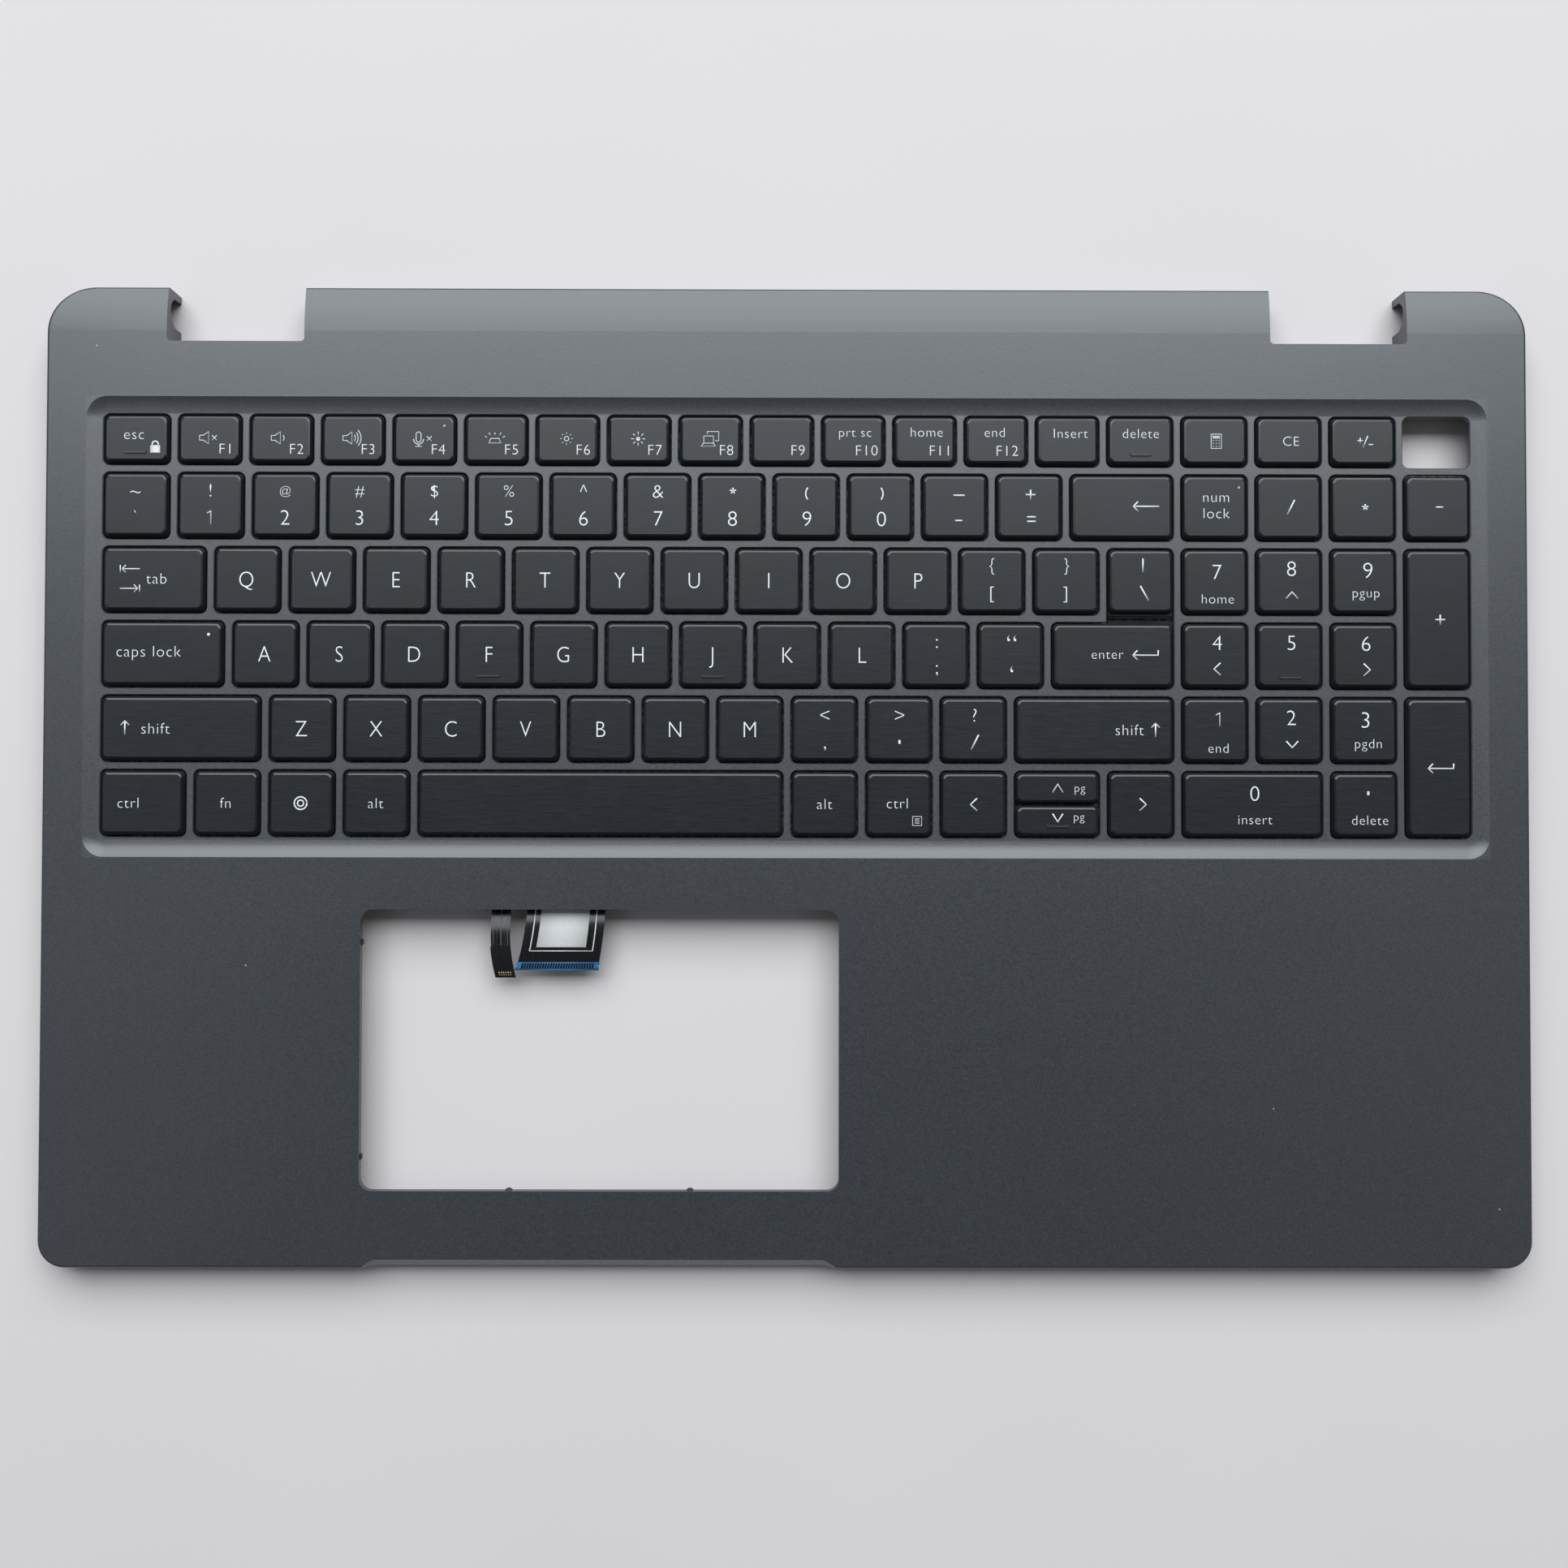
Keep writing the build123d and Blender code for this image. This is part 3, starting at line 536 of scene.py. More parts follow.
@dataclass
class KeyPlan:
    """The key rows, laid out in units of one letter key."""

    pitch: float = 18.2
    function_pitch: float = 14.3
    left: float = -168.35
    rear: float = 89.1
    pad_start: float = 14.5
    narrow: float = 12.5 / 13
    top: float = 8.75
    keys: dict[str, Key] = field(default_factory=dict)

    def __post_init__(self) -> None:
        """Lay every row."""
        narrow = [(f"f{n}", self.narrow) for n in range(1, 13)] + [("insert", self.narrow)]
        wide = [(name, 1.0) for name in ("delete", "calculator", "clear_entry", "plus_minus")]
        self.lay([("escape", 1.0)] + narrow + wide, 0.0, -1)
        digits = " ".join(f"digit_{digit}" for digit in "1234567890")
        rows = (
            f"backquote {digits} hyphen equals backspace:1.5",
            "tab:1.5 q w e r t y u i o p left_bracket right_bracket backslash",
            "caps_lock:1.75 a s d f g h j k l semicolon apostrophe enter:1.75",
            "left_shift:2.25 z x c v b n m comma period slash right_shift:2.25",
            "left_ctrl:1.25 function menu left_alt space:5 right_alt right_ctrl "
            "left_arrow arrow_pair:1.25 right_arrow",
        )
        pads = (
            "num_lock pad_divide pad_multiply pad_minus",
            "pad_7 pad_8 pad_9 pad_plus",
            "pad_4 pad_5 pad_6",
            "pad_1 pad_2 pad_3 pad_enter",
            "pad_0:2 pad_point",
        )
        for number, (row, pad) in enumerate(zip(rows, pads)):
            self.lay(self.read(row), 0.0, number)
            self.lay(self.read(pad), self.pad_start, number)

    @staticmethod
    def read(row: str) -> list[tuple[str, float]]:
        """Read a row's key names, each with its width in units after a colon where that isn't one."""
        return [(name, float(units or 1)) for name, _, units in (word.partition(":") for word in row.split())]

    def lay(self, row: list[tuple[str, float]], start: float, number: int) -> None:
        """Lay one row's keys side by side.

        Args:
            row: Key names with their widths in units.
            start: Where the row starts, in units from the left.
            number: The row's number below the function row, which is -1.
        """
        depth = self.function_pitch if number < 0 else self.pitch
        rear = self.rear if number < 0 else self.rear - self.function_pitch - number * self.pitch
        for name, units in row:
            tall = depth + self.pitch if name in ("pad_plus", "pad_enter") else depth
            x = self.left + (start + units / 2) * self.pitch
            start += units
            if name == "arrow_pair":
                for half, quarters in (("up_arrow", 1), ("down_arrow", 3)):
                    y = rear - depth * quarters / 4
                    self.keys[half] = Key(half, x, y, units * self.pitch, depth / 2)
            else:
                self.keys[name] = Key(name, x, rear - tall / 2, units * self.pitch, tall)

    def body(self, name: str) -> str:
        """Return the body that carries a key: its own where it travels, and else the root."""
        own = f"key_{name}"
        return own if own in frame["bodies"] else ROOT


def arc(x: float, y: float, radius: float, start: float, end: float, steps: int = 10) -> Line:
    """Return points along an arc, with its angles in degrees."""
    angles = [math.radians(start + (end - start) * step / steps) for step in range(steps + 1)]
    return [(x + radius * math.cos(a), y + radius * math.sin(a)) for a in angles]


def ring(radius: float) -> Line:
    """Return points round a full circle."""
    return arc(0, 0, radius, 0, 360, 16)


def frame_line(left: float, low: float, right: float, high: float) -> Line:
    """Return the corners of a closed rectangle."""
    return [(left, low), (right, low), (right, high), (left, high), (left, low)]


def rays(inner: float, outer: float, count: int = 8) -> list[Line]:
    """Return short lines that stand round a circle."""
    turns = [math.tau * n / count for n in range(count)]
    return [[(r * math.cos(a), r * math.sin(a)) for r in (inner, outer)] for a in turns]


def arrow(length: float, head: float, turn: float = 0.0) -> list[Line]:
    """Return an arrow through the origin.

    Args:
        length: Its whole length.
        head: Reach of its head to each side.
        turn: Its direction in degrees from +X.

    Returns:
        The shaft and the head.
    """
    half = length / 2
    lines = [[(-half, 0.0), (half, 0.0)], [(half - head, head), (half, 0.0), (half - head, -head)]]
    c, s = math.cos(math.radians(turn)), math.sin(math.radians(turn))
    return [[(x * c - y * s, x * s + y * c) for x, y in line] for line in lines]


def shifted(lines: list[Line], x: float, y: float) -> list[Line]:
    """Return lines moved by x and y."""
    return [[(a + x, b + y) for a, b in line] for line in lines]


SPEAKER: list[Line] = [
    [(-2.1, -0.6), (-1.2, -0.6), (0.1, -1.5), (0.1, 1.5), (-1.2, 0.6), (-2.1, 0.6), (-2.1, -0.6)]]
CROSS: list[Line] = [[(-0.6, -0.6), (0.6, 0.6)], [(-0.6, 0.6), (0.6, -0.6)]]
CAPSULE: Line = arc(0, 0.95, 0.6, 0, 180) + arc(0, -0.35, 0.6, 180, 360) + [(0.6, 0.95)]
PANEL: Line = [(-1.45, -1.1), (1.45, -1.1), (1.0, 0.0), (-1.0, 0.0), (-1.45, -1.1)]


class Sign(Enum):
    """The drawn signs on the keys, as lines in millimetres."""

    MUTE = SPEAKER + shifted(CROSS, 1.5, 0.0)
    QUIETER = SPEAKER + [arc(-0.4, 0, 1.4, -30, 30)]
    LOUDER = SPEAKER + [arc(-0.6, 0, r, -a, a) for r, a in ((1.5, 32), (2.2, 38), (2.9, 42))]
    MICROPHONE = [CAPSULE, arc(0, -0.2, 1.25, 180, 360), [(0.0, -1.45), (0.0, -2.0)],
                  [(-0.8, -2.0), (0.8, -2.0)]] + shifted(CROSS, 2.6, -0.1)
    KEY_LIGHT = [PANEL, [(0.0, 0.9), (0.0, 1.5)], [(1.1, 0.8), (1.5, 1.4)], [(-1.1, 0.8), (-1.5, 1.4)],
                 [(1.9, 0.2), (2.4, 0.6)], [(-1.9, 0.2), (-2.4, 0.6)]]
    DIMMER = [ring(0.55)] + rays(1.2, 1.5)
    BRIGHTER = [ring(0.4), ring(0.2)] + rays(1.0, 1.75)
    SCREENS = [frame_line(-1.45, -1.0, 0.9, 0.75), [(-1.45, -1.0), (-2.1, -1.75), (1.4, -1.75), (0.9, -1.0)],
               [(-0.6, 1.1), (-0.6, 1.85), (2.2, 1.85), (2.2, -0.4), (1.3, -0.4)]]
    PADLOCK = [[(-1.2, y), (1.2, y)] for y in (-1.35, -1.1, -0.85, -0.6, -0.35, -0.1, 0.15)] + [
        [(-0.75, 0.2), *arc(0, 0.55, 0.75, 180, 0), (0.75, 0.2)]]
    CALCULATOR = [frame_line(-1.25, -1.75, 1.25, 1.75), frame_line(-0.8, 0.75, 0.8, 1.25),
                  [(-0.8, 1.0), (0.8, 1.0)]] + [
        [(x - 0.12, y), (x + 0.12, y)] for x in (-0.7, 0.0, 0.7) for y in (0.2, -0.5, -1.2)]
    LONG_LEFT = arrow(6.35, 1.15, 180)
    TAB = shifted(arrow(4.3, 0.9, 180), 0.25, 2.4) + shifted(arrow(4.3, 0.9), -0.25, -2.4) + [
        [(-2.35, 1.5), (-2.35, 3.3)], [(2.35, -3.3), (2.35, -1.5)]]
    UPWARD = arrow(3.3, 1.0, 90)
    RETURN = [[(3.1, 1.2), (3.1, 0.0), (-3.1, 0.0)], [(-1.95, 1.15), (-3.1, 0.0), (-1.95, -1.15)]]
    LESS = [[(0.8, 1.5), (-0.8, 0.0), (0.8, -1.5)]]
    MORE = [[(-0.8, 1.5), (0.8, 0.0), (-0.8, -1.5)]]
    UP = [[(-1.45, -0.8), (0.0, 0.8), (1.45, -0.8)]]
    DOWN = [[(-1.45, 0.8), (0.0, -0.8), (1.45, 0.8)]]
    ARROW_UP = [[(-1.25, -1.0), (0.0, 1.0), (1.25, -1.0)]]
    ARROW_DOWN = [[(-1.25, 1.0), (0.0, -1.0), (1.25, 1.0)]]
    ONE = [[(-0.8, 1.1), (0.1, 1.65), (0.1, -1.65)]]
    DOT = [ring(0.2)]
    POINT = [[(-0.3, y), (0.3, y)] for y in (-0.3, -0.1, 0.1, 0.3)]
    RING_MARK = [ring(1.55), ring(0.75)]
    LIST_MARK = [frame_line(-1.1, -1.1, 1.1, 1.1)] + [[(-0.6, y), (0.6, y)] for y in (-0.5, 0.0, 0.5)]
    STAR = [[(0.0, 0.0), arc(0.0, 0.0, 0.8, turn, turn, 1)[0]] for turn in range(90, 450, 72)]
    OPEN = [arc(2.0, 0.0, 2.4, 142, 218)]
    CLOSE = [arc(-2.0, 0.0, 2.4, -38, 38)]
    PLUS_MINUS = [[(-2.0, 0.25), (-0.6, 0.25)], [(-1.3, -0.45), (-1.3, 0.95)], [(-0.6, -1.4), (0.55, 1.4)],
                  [(0.75, -0.7), (1.9, -0.7)]]
    BAR = [[(0.0, -1.7), (0.0, 1.7)]]
    BACKSLASH = [[(-1.0, 1.8), (1.0, -1.8)]]
    LONG_DASH = [[(-1.4, 0.0), (1.4, 0.0)]]
    DASH = [[(-0.9, 0.0), (0.9, 0.0)]]
    SLASH = [[(-0.9, -1.8), (0.9, 1.8)]]
    PLUS = [[(-1.2, 0.0), (1.2, 0.0)], [(0.0, -1.2), (0.0, 1.2)]]
    EQUAL = [[(-1.1, 0.55), (1.1, 0.55)], [(-1.1, -0.55), (1.1, -0.55)]]


def strokes(lines: list[Line], radius: float, rounding: int) -> Piece:
    """Draw lines as round strokes on the XY plane.

    Args:
        lines: The lines; one that ends where it starts is closed.
        radius: Radius of the strokes.
        rounding: Steps in the strokes' rounding.

    Returns:
        The curve object.
    """
    curve = bpy.data.curves.new("strokes", "CURVE")
    curve.dimensions = "3D"
    curve.bevel_depth = radius
    curve.bevel_resolution = rounding
    curve.use_fill_caps = True
    for line in lines:
        spline = curve.splines.new("POLY")
        closed = line[0] == line[-1]
        points = line[:-1] if closed else line
        spline.points.add(len(points) - 1)
        for point, (x, y) in zip(spline.points, points):
            point.co = (x, y, 0.0, 1.0)
        spline.use_cyclic_u = closed
    drawn = bpy.data.objects.new("strokes", curve)
    bpy.context.scene.collection.objects.link(drawn)
    return drawn


@dataclass(frozen=True)
class Mark:
    """A word or a sign on a key, placed from the key's middle, in millimetres.

    Its size is the height of a word's capitals or the width of a sign's strokes.
    """

    what: "str | Sign"
    x: float = 0.0
    y: float = 0.0
    size: float = 0.38


# The marks of the keys that follow no pattern: each is a word or a sign, its place and its size.
ODD_MARKS: dict[str, list[tuple]] = {
    "period": [(">", 0.1, 3.4, 3.3), (Sign.POINT, 0.1, -3.0)],
    "slash": [("?", 0.2, 3.5, 3.0), (Sign.SLASH, 0.3, -3.0)],
    "left_bracket": [("{", -0.1, 3.9, 2.85), ("[", -0.2, -2.85, 2.85)],
    "right_bracket": [("}", 0.0, 3.9, 2.85), ("]", -0.2, -2.85, 2.85)],
    "escape": [("esc", -0.4, 1.0, 2.45), (Sign.PADLOCK, 4.8, -2.0)],
    "insert": [("Insert", 0.6, 1.8, 2.2)],
    "delete": [("delete", 0.0, 1.8, 2.2)],
    "calculator": [(Sign.CALCULATOR, 0.3, 0.0, 0.22)],
    "clear_entry": [("CE", 0.4, 0.0, 2.2)],
    "plus_minus": [(Sign.PLUS_MINUS, 0.5, 0.0, 0.28)],
    "hyphen": [(Sign.LONG_DASH, 1.0, 2.8), (Sign.DASH, 0.9, -3.4)],
    "equals": [(Sign.PLUS, 0.3, 3.0), (Sign.EQUAL, 0.5, -3.0)],
    "backspace": [(Sign.LONG_LEFT, 5.85, 0.2)],
    "apostrophe": [("\u201c", 0.2, 2.5, 4.6), ("\u2018", 0.2, -5.1, 4.6)],
    "tab": [(Sign.TAB, -5.6, 0.1, 0.28), ("tab", 0.9, 0.1, 2.5)],
    "backslash": [(Sign.BAR, 0.45, 3.9), (Sign.BACKSLASH, 0.8, -2.9)],
    "caps_lock": [("caps lock", -3.2, 0.5, 2.55), (Sign.DOT, 11.4, 4.7)],
    "enter": [("enter", -1.5, 0.3, 2.2), (Sign.RETURN, 7.85, 0.15)],
    "left_shift": [(Sign.UPWARD, -13.3, 0.1), ("shift", -5.9, -0.1, 2.5)],
    "right_shift": [("shift", 8.4, 0.0, 2.5), (Sign.UPWARD, 14.8, 0.0)],
    "left_ctrl": [("ctrl", -3.2, 0.0, 2.4)],
    "function": [("fn", 0.0, 0.0, 2.4)],
    "menu": [(Sign.RING_MARK, 0.0, 0.0)],
    "left_alt": [("alt", 0.0, 0.0, 2.4)],
    "right_alt": [("alt", 0.0, 0.0, 2.4)],
    "right_ctrl": [("ctrl", -0.4, 0.2, 2.4), (Sign.LIST_MARK, 4.4, -4.05, 0.18)],
    "left_arrow": [(Sign.LESS,)],
    "right_arrow": [(Sign.MORE, 0.3, 0.1)],
    "up_arrow": [(Sign.ARROW_UP, 0.0, -0.55), ("pg", 5.35, -0.5, 1.9)],
    "down_arrow": [(Sign.ARROW_DOWN, 0.0, 1.35), ("pg", 5.15, 1.6, 1.9)],
    "num_lock": [("num", 0.2, 2.5, 2.4), ("lock", 0.2, -1.5, 2.4),
                 (Sign.DOT, 5.8, 4.9, 0.14)],
    "pad_divide": [(Sign.SLASH, 0.35, 0.1)],
    "pad_multiply": [(Sign.STAR, 0.35, 0.1)],
    "pad_minus": [(Sign.DASH, 0.35, 0.2)],
    "pad_plus": [(Sign.PLUS, 0.35, -0.1)],
    "pad_enter": [(Sign.RETURN, 0.3, -0.1)],
    "pad_7": [("7", 0.3, 2.25, 3.5), ("home", 0.5, -4.3, 2.2)],
    "pad_8": [("8", 0.4, 3.1, 3.5), (Sign.UP, 0.5, -3.3)],
    "pad_9": [("9", 0.9, 2.7, 3.7), ("pgup", 0.4, -2.7, 2.2)],
    "pad_4": [("4", 0.4, 3.1, 3.45), (Sign.LESS, 0.35, -3.2)],
    "pad_5": [("5", 0.35, 3.15, 3.45)],
    "pad_6": [("6", 0.35, 3.0, 3.5), (Sign.MORE, 0.55, -3.3)],
    "pad_1": [(Sign.ONE, 0.8, 2.6), ("end", 0.6, -4.4, 2.2)],
    "pad_2": [("2", 0.2, 3.0, 3.5), (Sign.DOWN, 0.4, -3.4)],
    "pad_3": [("3", 0.15, 2.5, 3.7), ("pgdn", 0.8, -3.2, 2.2)],
    "pad_0": [("0", 0.3, 2.7, 3.5), ("insert", 0.3, -3.6, 2.2)],
    "pad_point": [(Sign.POINT, 0.7, 2.9), ("delete", 1.1, -3.7, 2.2)],
}


@dataclass
class Legends:
    """The printed letters, digits and signs on the keycaps."""

    plan: KeyPlan
    capital: float = 0.682
    letter: float = 3.7
    thin: float = 0.017
    narrow: float = 0.86
    thin_small: float = 0.018
    spacing: float = 1.08
    small: float = 2.7
    fine: float = 0.2
    proud: float = 0.012
    marks: dict[str, list[Mark]] = field(default_factory=dict)

    def __post_init__(self) -> None:
        """Set out the marks of every key."""
        for letter in "qwertyuiopasdfghjklzxcvbnm":
            self.marks[letter] = [Mark(letter.upper(), 0.0, -0.12, self.letter)]
        lower = {"@": 1.9, "#": 2.7, "$": 2.7, "%": 2.7, "!": 3.0}
        drawn = {"*": Mark(Sign.STAR, 0.3, 3.7), "(": Mark(Sign.OPEN, 0.3, 3.1)}
        drawn[")"] = Mark(Sign.CLOSE, 0.2, 3.1)
        for digit, symbol in zip("1234567890", "!@#$%^&*()"):
            figure = Mark(Sign.ONE, 0.2, -3.15) if digit == "1" else Mark(digit, 0.2, -3.15, 3.5)
            above = drawn.get(symbol) or Mark(symbol, 0.2, 3.5, lower.get(symbol, 3.1))
            self.marks[f"digit_{digit}"] = [above, figure]
        for name, (above, below) in {"backquote": "~`", "semicolon": ":;", "comma": "<,"}.items():
            self.marks[name] = [Mark(above, 0.1, 3.4, 3.3), Mark(below, 0.1, -3.0, 3.3)]
        upper = (Sign.MUTE, Sign.QUIETER, Sign.LOUDER, Sign.MICROPHONE, Sign.KEY_LIGHT, Sign.DIMMER,
                 Sign.BRIGHTER, Sign.SCREENS, None, Mark("prt sc", 0.4, 1.9, 2.1),
                 Mark("home", 0.4, 2.0, 2.2), Mark("end", -0.4, 2.0, 2.2))
        sides = {1: 4.2, 4: 3.5, 10: 3.2, 11: 3.75, 12: 2.6}
        for number, what in enumerate(upper, 1):
            marks = [Mark(f"F{number}", sides.get(number, 3.9), -2.55, 2.4)]
            self.marks[f"f{number}"] = marks
            if isinstance(what, Sign):
                what = Mark(what, -1.3 if number == 4 else -0.15, 0.2, self.fine)
            if what is not None:
                marks.append(what)
        self.marks["f4"].append(Mark(Sign.DOT, 5.0, 3.3, 0.14))
        self.marks |= {name: [Mark(*one) for one in row] for name, row in ODD_MARKS.items()}

    def word(self, key: Key, mark: Mark) -> Piece:
        """Set one word as text on its key.

        Args:
            key: The key that carries it.
            mark: The word and its place.

        Returns:
            The text object.
        """
        thin = self.thin_small if mark.size < self.small else self.thin
        scale = mark.size * MM / (self.capital - 2 * thin)
        place = (key.x + mark.x, key.y + mark.y - mark.size / 2, self.plan.top)
        bpy.ops.object.text_add(location=[one * MM for one in place])
        text = bpy.context.object
        slim = self.narrow if len(mark.what) == 1 and mark.what.isalpha() else 1.0
        text.scale = (scale * slim, scale, self.proud * MM)
        text.data.body = mark.what
        text.data.align_x = "CENTER"
        text.data.space_character = self.spacing
        text.data.offset = -thin
        text.data.extrude = 1.0
        text.data.resolution_u = 4
        return text

    def drawing(self, key: Key, mark: Mark) -> Piece:
        """Draw one sign on its key as round strokes pressed flat.

        Args:
            key: The key that carries it.
            mark: The sign and its place.

        Returns:
            The curve object.
        """
        sign = strokes(mark.what.value, mark.size / 2, 1)
        sign.location = ((key.x + mark.x) * MM, (key.y + mark.y) * MM, self.plan.top * MM)
        sign.scale = (MM, MM, 2 * self.proud * MM / mark.size)
        return sign

    def build(self) -> None:
        """Print every key, one piece for each moving key and one for all that stand still."""
        groups: dict[str, list[Piece]] = {}
        for name, marks in self.marks.items():
            key = self.plan.keys[name]
            for mark in marks:
                made = self.word(key, mark) if isinstance(mark.what, str) else self.drawing(key, mark)
                groups.setdefault(self.plan.body(name), []).append(made)
        only(*[one for group in groups.values() for one in group])
        bpy.ops.object.convert(target="MESH")
        for body, group in groups.items():
            label = "fixed_keys" if body == ROOT else body
            mount(merged(*group), f"{label}_legend", Finish.INK, body)


@dataclass
class HomingRidges:
    """The rounded ridges that fingers feel on a few keys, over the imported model's plain bars."""

    plan: KeyPlan
    names: tuple[str, ...] = ("f", "j", "pad_5", "escape", "delete", "down_arrow")
    half_length: float = 2.6
    radius: float = 0.37
    height: float = 0.32
    front_inset: float = 3.82

    def build(self) -> None:
        """Lay one ridge on each key."""
        for name in self.names:
            key = self.plan.keys[name]
            front = key.y - key.depth / 2 + self.front_inset
            ridge = strokes([[(-self.half_length, 0.0), (self.half_length, 0.0)]], self.radius, 4)
            ridge.location = (key.x * MM, front * MM, self.plan.top * MM)
            ridge.scale = (MM, MM, self.height / self.radius * MM)
            ridge = smoothed(meshed(ridge), 60.0)
            # Its paler finish is painted highlight.
            mount(ridge, f"{name}_homing_ridge", Finish.RIDGE, self.plan.body(name))


@dataclass
class KeySupports:
    """The domes, guides and wires under the keys, split into one piece for each moving key and one for the
    rest.
    """

    plan: KeyPlan
    seat: float = 4.35
    ceiling: float = 7.75
    travel: float = 1.5

    def parts(self, node: str) -> list[Piece]:
        """Copy a CAD node and take it apart into its loose solids.

        Args:
            node: The node to copy.

        Returns:
            One object for each solid.
        """
        copy = bpy.data.objects.new(node + "_copy", frame["nodes"][node].data.copy())
        bpy.context.scene.collection.objects.link(copy)
        with editing(merged(copy)):
            bpy.ops.mesh.separate(type="LOOSE")
        return list(bpy.context.selected_objects)

    def key_under(self, part: Piece) -> str:
        """Return the name of the key that a loose solid stands under."""
        corners = [Vector(corner) for corner in part.bound_box]
        middle = sum(corners, Vector()) / len(corners) / MM
        return next(key.name for key in self.plan.keys.values() if key.holds(middle.x, middle.y))

    def split(self, node: str, word: str, finish: Finish) -> None:
        """Replace a CAD node by one piece for each moving key and one for the rest.

        Args:
            node: The CAD node.
            word: What its pieces are called.
            finish: Their finish.
        """
        groups: dict[str, list[Piece]] = {}
        for part in self.parts(node):
            groups.setdefault(self.plan.body(self.key_under(part)), []).append(part)
        for body, group in groups.items():
            label = "fixed_keys" if body == ROOT else body
            piece = mount(merged(*group), f"{label}_{word}", finish, ROOT)
            smoothed(piece)
            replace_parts(piece, node)
            if body != ROOT:
                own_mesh(piece)

    def build(self) -> None:
        """Split all three kinds."""
        self.split("rubber_domes", "dome", Finish.RUBBER)
        self.split("scissor_guides", "guide", Finish.GUIDE)
        self.split("stabiliser_wires", "wire", Finish.WIRE)


@dataclass(frozen=True)
class Drift:
    """How far a strip's two edges stray to the side between a start and its tip, in millimetres."""

    left: float
    right: float
    start: float
    tip: float


@dataclass
class Strip:
    """A flat film strip that follows a route in the YZ plane, in millimetres."""

    name: str
    centre: float
    width: float
    thickness: float
    route: tuple[Point, ...]
    drift: Drift
    finger_thickness: float = 0.05

    def spline(self) -> bpy.types.Curve:
        """Make the route's smooth line as a NURBS spline in the strip's own plane."""
        curve = bpy.data.curves.new(self.name, "CURVE")
        curve.dimensions = "2D"
        curve.resolution_u = 10
        spline = curve.splines.new("NURBS")
        spline.points.add(len(self.route) - 1)
        for point, (y, z) in zip(spline.points, self.route):
            point.co = (y * MM, z * MM, 0.0, 1.0)
        spline.order_u = 3
        spline.use_endpoint_u = True
        return curve

    def placed(self, curve: bpy.types.Curve) -> Piece:
        """Stand a curve of the strip's plane upright on its centre line."""
        made = bpy.data.objects.new(self.name, curve)
        bpy.context.scene.collection.objects.link(made)
        made.rotation_euler = (math.pi / 2, 0.0, math.pi / 2)
        made.location = (self.centre * MM, 0.0, 0.0)
        return made

    def strayed(self, point: Vector) -> Vector:
        """Return a point of the straight strip where the drift takes it."""
        drift = self.drift
        share = max(0.0, (drift.start - point.y / MM) / (drift.start - drift.tip)) ** 2
        across = (point.x / MM - self.centre) / self.width + 0.5
        return point + Vector((share * (drift.left + (drift.right - drift.left) * across) * MM, 0.0, 0.0))

    def swayed(self, piece: Piece) -> Piece:
        """Let a piece on the strip follow the drift."""
        for vertex in piece.data.vertices:
            vertex.co = self.strayed(vertex.co)
        return piece

    def path(self) -> list[Vector]:
        """Return the points that the smooth line passes through."""
        line = self.placed(self.spline())
        bpy.context.view_layer.update()
        mesh = bpy.data.meshes.new_from_object(line)
        points = [self.strayed(line.matrix_world @ vertex.co) for vertex in mesh.vertices]
        bpy.data.objects.remove(line)
        return points

    def band(self, width: float, lift: float, thickness: float) -> Piece:
        """Make a thin straight band along the route.

        Args:
            width: Its width.
            lift: How far its middle plane lies above the strip's.
            thickness: Its thickness.

        Returns:
            The band as a mesh.
        """
        curve = self.spline()
        curve.extrude = width / 2 * MM
        band = meshed(self.placed(curve))
        with editing(band):
            bpy.ops.mesh.subdivide(number_cuts=1)
            bpy.ops.mesh.normals_make_consistent(inside=False)
        if band.data.polygons[0].normal.z < 0:
            band.data.flip_normals()
        solid = band.modifiers.new("thickness", "SOLIDIFY")
        solid.thickness = thickness * MM
        solid.offset = 2 * lift / thickness
        bpy.ops.object.modifier_apply(modifier=solid.name)
        return smoothed(band)

    def patch(self, lift: float, thickness: float, box: Box) -> Piece:
        """Cut a thin straight patch out of a band along the route.

        Args:
            lift: How far its middle plane lies above the strip's.
            thickness: Its thickness.
            box: Its left and right edges from the strip's centre line, and its front and rear edges.

        Returns:
            The patch as a mesh.
        """
        left, right, front, rear = box
        patch = self.band(2 * max(abs(left), abs(right)) + 1.0, lift, thickness)
        sides = ((self.centre + left, -1.0), (self.centre + right, 1.0))
        cuts = [((x * MM, 0.0, 0.0), (side, 0.0, 0.0)) for x, side in sides]
        cuts += [((0.0, y * MM, 0.0), (0.0, side, 0.0)) for y, side in ((front, -1.0), (rear, 1.0))]
        for place, normal in cuts:
            with editing(patch):
                bpy.ops.mesh.bisect(plane_co=place, plane_no=normal, use_fill=True, clear_outer=True)
        return patch

    def row(self, lift: float, count: int, pitch: float, size: Point, front: float) -> Piece:
        """Lay a row of contact fingers across the strip.

        Args:
            lift: How far their middle plane lies above the strip's.
            count: Number of fingers.
            pitch: Their spacing.
            size: A finger's width and length.
            front: Their front edge along Y.

        Returns:
            The row as one mesh.
        """
        width, length = size
        first = -pitch * (count - 1) / 2
        box = (first - width / 2, first + width / 2, front, front + length)
        fingers = self.patch(lift, self.finger_thickness, box)
        repeat = fingers.modifiers.new("row", "ARRAY")
        repeat.use_relative_offset = False
        repeat.use_constant_offset = True
        repeat.count = count
        repeat.constant_offset_displace = (pitch * MM, 0.0, 0.0)
        only(fingers)
        bpy.ops.object.modifier_apply(modifier=repeat.name)
        return fingers


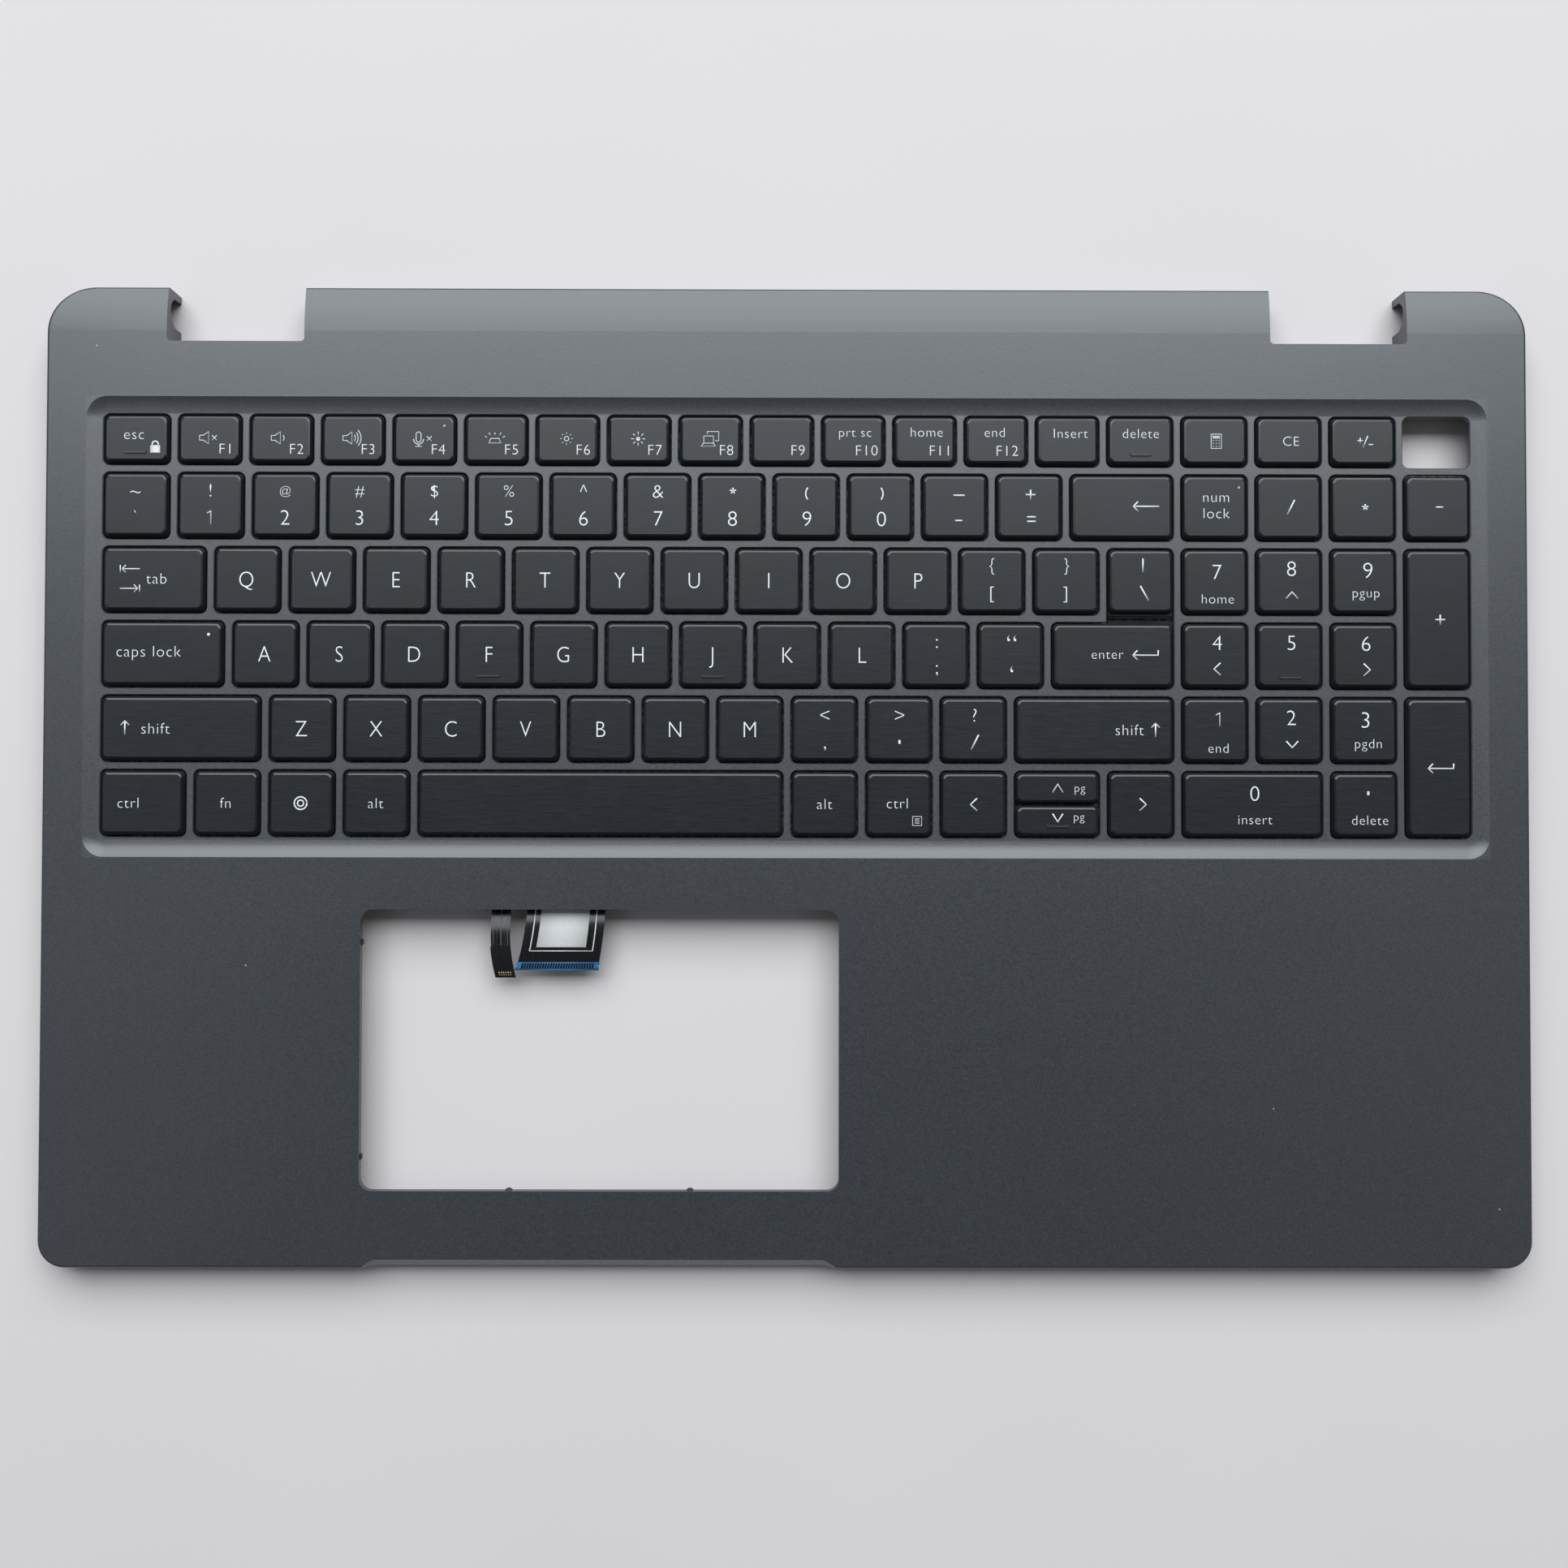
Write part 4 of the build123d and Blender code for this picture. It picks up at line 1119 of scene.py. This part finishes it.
@dataclass
class Ribbons:
    """The wide keyboard ribbon and the narrow backlight lead that hang into the touchpad opening."""

    wide: Strip = field(default_factory=lambda: Strip(
        "keyboard_ribbon_film", -53.95, 19.1, 0.3,
        ((-16.2, 4.2), (-29.0, 4.2), (-39.5, 7.7), (-47.8, 5.0)), Drift(-3.05, -2.05, -31.2, -48.1)))
    lead: Strip = field(default_factory=lambda: Strip(
        "backlight_lead_film", -70.0, 4.7, 0.2,
        ((-16.2, 3.3), (-24.0, 3.3), (-30.0, 4.0), (-42.2, 7.5), (-49.7, 5.0)),
        Drift(1.2, 1.2, -38.0, -49.7)))
    lead_length: float = 34.19
    stiffener_box: Box = (-9.8, 9.8, -48.0, -45.9)
    ear_place: Size = (9.85, -46.9, 5.3)
    ear_radius: float = 0.3
    ear_depth: float = 6.0
    label_box: Box = (-6.05, 5.8, -42.2, -30.0)
    outline_boxes: tuple[Box, ...] = (
        (-7.6, -7.35, -43.2, -30.0), (7.4, 7.65, -43.2, -30.0), (-7.6, 7.65, -43.2, -43.0))
    backing_box: Box = (-2.6, 2.4, -49.65, -42.0)
    fold_box: Box = (-2.3, 2.3, -41.6, -41.4)
    line_places: Size = (-1.75, 0.15, 1.75)
    line_half_width: float = 0.06
    line_ends: Point = (-42.0, -32.0)

    def stiffener(self) -> Piece:
        """Make the blue film on the ribbon's end, with a round bite in each of its ears."""
        strip = self.wide
        film = strip.patch(0.25, 0.2, self.stiffener_box)
        x, y, z = self.ear_place
        for side in (-1.0, 1.0):
            bpy.ops.mesh.primitive_cylinder_add(
                vertices=24, radius=self.ear_radius * MM, depth=self.ear_depth * MM,
                location=((strip.centre + side * x) * MM, y * MM, z * MM))
            bite = bpy.context.object
            cut = film.modifiers.new("ear", "BOOLEAN")
            cut.object = bite
            only(film)
            bpy.ops.object.modifier_apply(modifier=cut.name)
            bpy.data.objects.remove(bite)
        return strip.swayed(film)

    def build_wide(self) -> None:
        """Make the wide ribbon with its blank label, its printed outline and its contacts."""
        strip = self.wide
        film = strip.swayed(strip.band(strip.width, 0.0, strip.thickness))
        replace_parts(mount(film, strip.name, Finish.RIBBON, ROOT), "keyboard_ribbon")
        blue = mount(self.stiffener(), "ribbon_stiffener_film", Finish.BLUE, ROOT)
        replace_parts(blue, "ribbon_stiffener")
        label = strip.swayed(strip.patch(0.175, 0.05, self.label_box))
        mount(label, "ribbon_label", Finish.PAPER)
        outline = merged(*[strip.patch(0.16, 0.03, box) for box in self.outline_boxes])
        mount(strip.swayed(outline), "ribbon_outline", Finish.INK)
        mount(strip.swayed(strip.row(0.365, 28, 0.61, (0.45, 1.5), -47.5)), "ribbon_contacts", Finish.CARBON)

    def build_lead(self) -> None:
        strip = self.lead
        film = strip.swayed(strip.band(strip.width, 0.0, strip.thickness))
        mount(film, strip.name, Finish.RIBBON, ROOT)
        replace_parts(film, "backlight_lead")
        backing = strip.swayed(strip.patch(-0.02, 0.1, self.backing_box))
        mount(backing, "lead_backing", Finish.PANEL)
        half = self.line_half_width
        boxes = [(x - half, x + half, *self.line_ends) for x in self.line_places]
        lines = strip.swayed(merged(*[strip.patch(0.11, 0.03, box) for box in boxes]))
        mount(lines, "lead_lines", Finish.TRACK)
        fold = strip.swayed(strip.patch(0.115, 0.04, self.fold_box))
        mount(fold, "lead_fold", Finish.PANEL)
        fingers = strip.swayed(strip.row(0.12, 6, 0.55, (0.32, 0.9), -49.2))
        mount(fingers, "lead_contacts", Finish.GOLD)
        strip.width * MM
        strip.path()

    def build(self) -> None:
        """Make both strips."""
        self.build_wide()
        self.build_lead()


@dataclass
class CarriedNodes:
    """The CAD nodes that keep their own shape and only get a finish."""

    finishes: dict[str, Finish] = field(default_factory=lambda: {
        "upper_cover": Finish.COVER, "support_plate": Finish.PLATE, "switch_membrane": Finish.MEMBRANE,
        "backlight_panel": Finish.PANEL, "keyboard_screws": Finish.SCREW, "threaded_inserts": Finish.BRASS,
    })

    def dress(self) -> None:
        """Give every carried node its material."""
        for name, node in frame["nodes"].items():
            is_key = name.startswith("key_") or name.endswith("_keys")
            finish = Finish.KEY if is_key else self.finishes.get(name)
            if finish is not None:
                node.data.materials.clear()
                node.data.materials.append(finish.made())
                LOG.info("%s wears %s", name, finish.name)


@dataclass(frozen=True)
class Lamp:
    """A soft area lamp that points at the middle of the floor, in metres and watts."""

    name: str
    place: Size
    size: Point
    watts: float


@dataclass
class Studio:
    """The camera above the keyboard, a pale floor and soft light from the hinge side."""

    camera_place: Size = (-2.02, -9.17, 376.34)
    camera_turn: Size = (1.088, -0.203, 0.107)
    lens: float = 34.66
    near: float = 0.01
    floor_size: float = 6.0
    lamp_colour: Colour = (0.90, 0.955, 1.0)
    lamps: tuple[Lamp, ...] = (
        Lamp("rear_lamp", (0.0, 1.52, 1.80), (3.4, 2.1), 88.0),
        Lamp("left_lamp", (-1.2, -0.2, 1.4), (1.0, 1.2), 1.2),
        Lamp("right_lamp", (1.2, -0.2, 1.4), (1.0, 1.2), 0.8),
    )
    world_colour: Colour = (0.93, 0.95, 1.0)
    world_strength: float = 0.08

    def camera(self) -> None:
        """Stand the camera where the photograph was taken from."""
        place = [one * MM for one in self.camera_place]
        turn = [math.radians(one) for one in self.camera_turn]
        bpy.ops.object.camera_add(location=place, rotation=turn)
        camera = bpy.context.object
        camera.data.lens = self.lens
        camera.data.clip_start = self.near
        bpy.context.scene.camera = camera

    def floor(self) -> None:
        """Lay the floor."""
        bpy.ops.mesh.primitive_plane_add(size=self.floor_size)
        floor = bpy.context.object
        floor.name = "floor"
        floor.data.materials.append(Finish.FLOOR.made())

    def hang(self, lamp: Lamp) -> None:
        """Hang a lamp."""
        bpy.ops.object.light_add(type="AREA", location=lamp.place)
        hung = bpy.context.object
        hung.name = lamp.name
        hung.data.shape = "RECTANGLE"
        hung.data.size, hung.data.size_y = lamp.size
        hung.data.energy = lamp.watts
        hung.data.color = self.lamp_colour
        towards = Vector() - hung.location
        hung.rotation_euler = towards.to_track_quat("-Z", "Y").to_euler()

    def build(self) -> None:
        """Set the camera, the floor, the lamps and the world."""
        self.camera()
        self.floor()
        for lamp in self.lamps:
            self.hang(lamp)
        world = bpy.data.worlds.new("studio_world")
        world.use_nodes = True
        background = world.node_tree.nodes["Background"]
        background.inputs["Color"].default_value = flat(self.world_colour)
        background.inputs["Strength"].default_value = self.world_strength
        bpy.context.scene.world = world
        bpy.context.scene.view_settings.view_transform = "Standard"


def main() -> None:
    """Build every sub-assembly around the frame."""
    logging.basicConfig(level=logging.INFO, format="%(message)s")
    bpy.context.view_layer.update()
    Studio().build()
    plan = KeyPlan()
    Ribbons().build()
    CarriedNodes().dress()
    KeySupports(plan).build()
    HomingRidges(plan).build()
    Legends(plan).build()


if __name__ == "__main__":
    main()
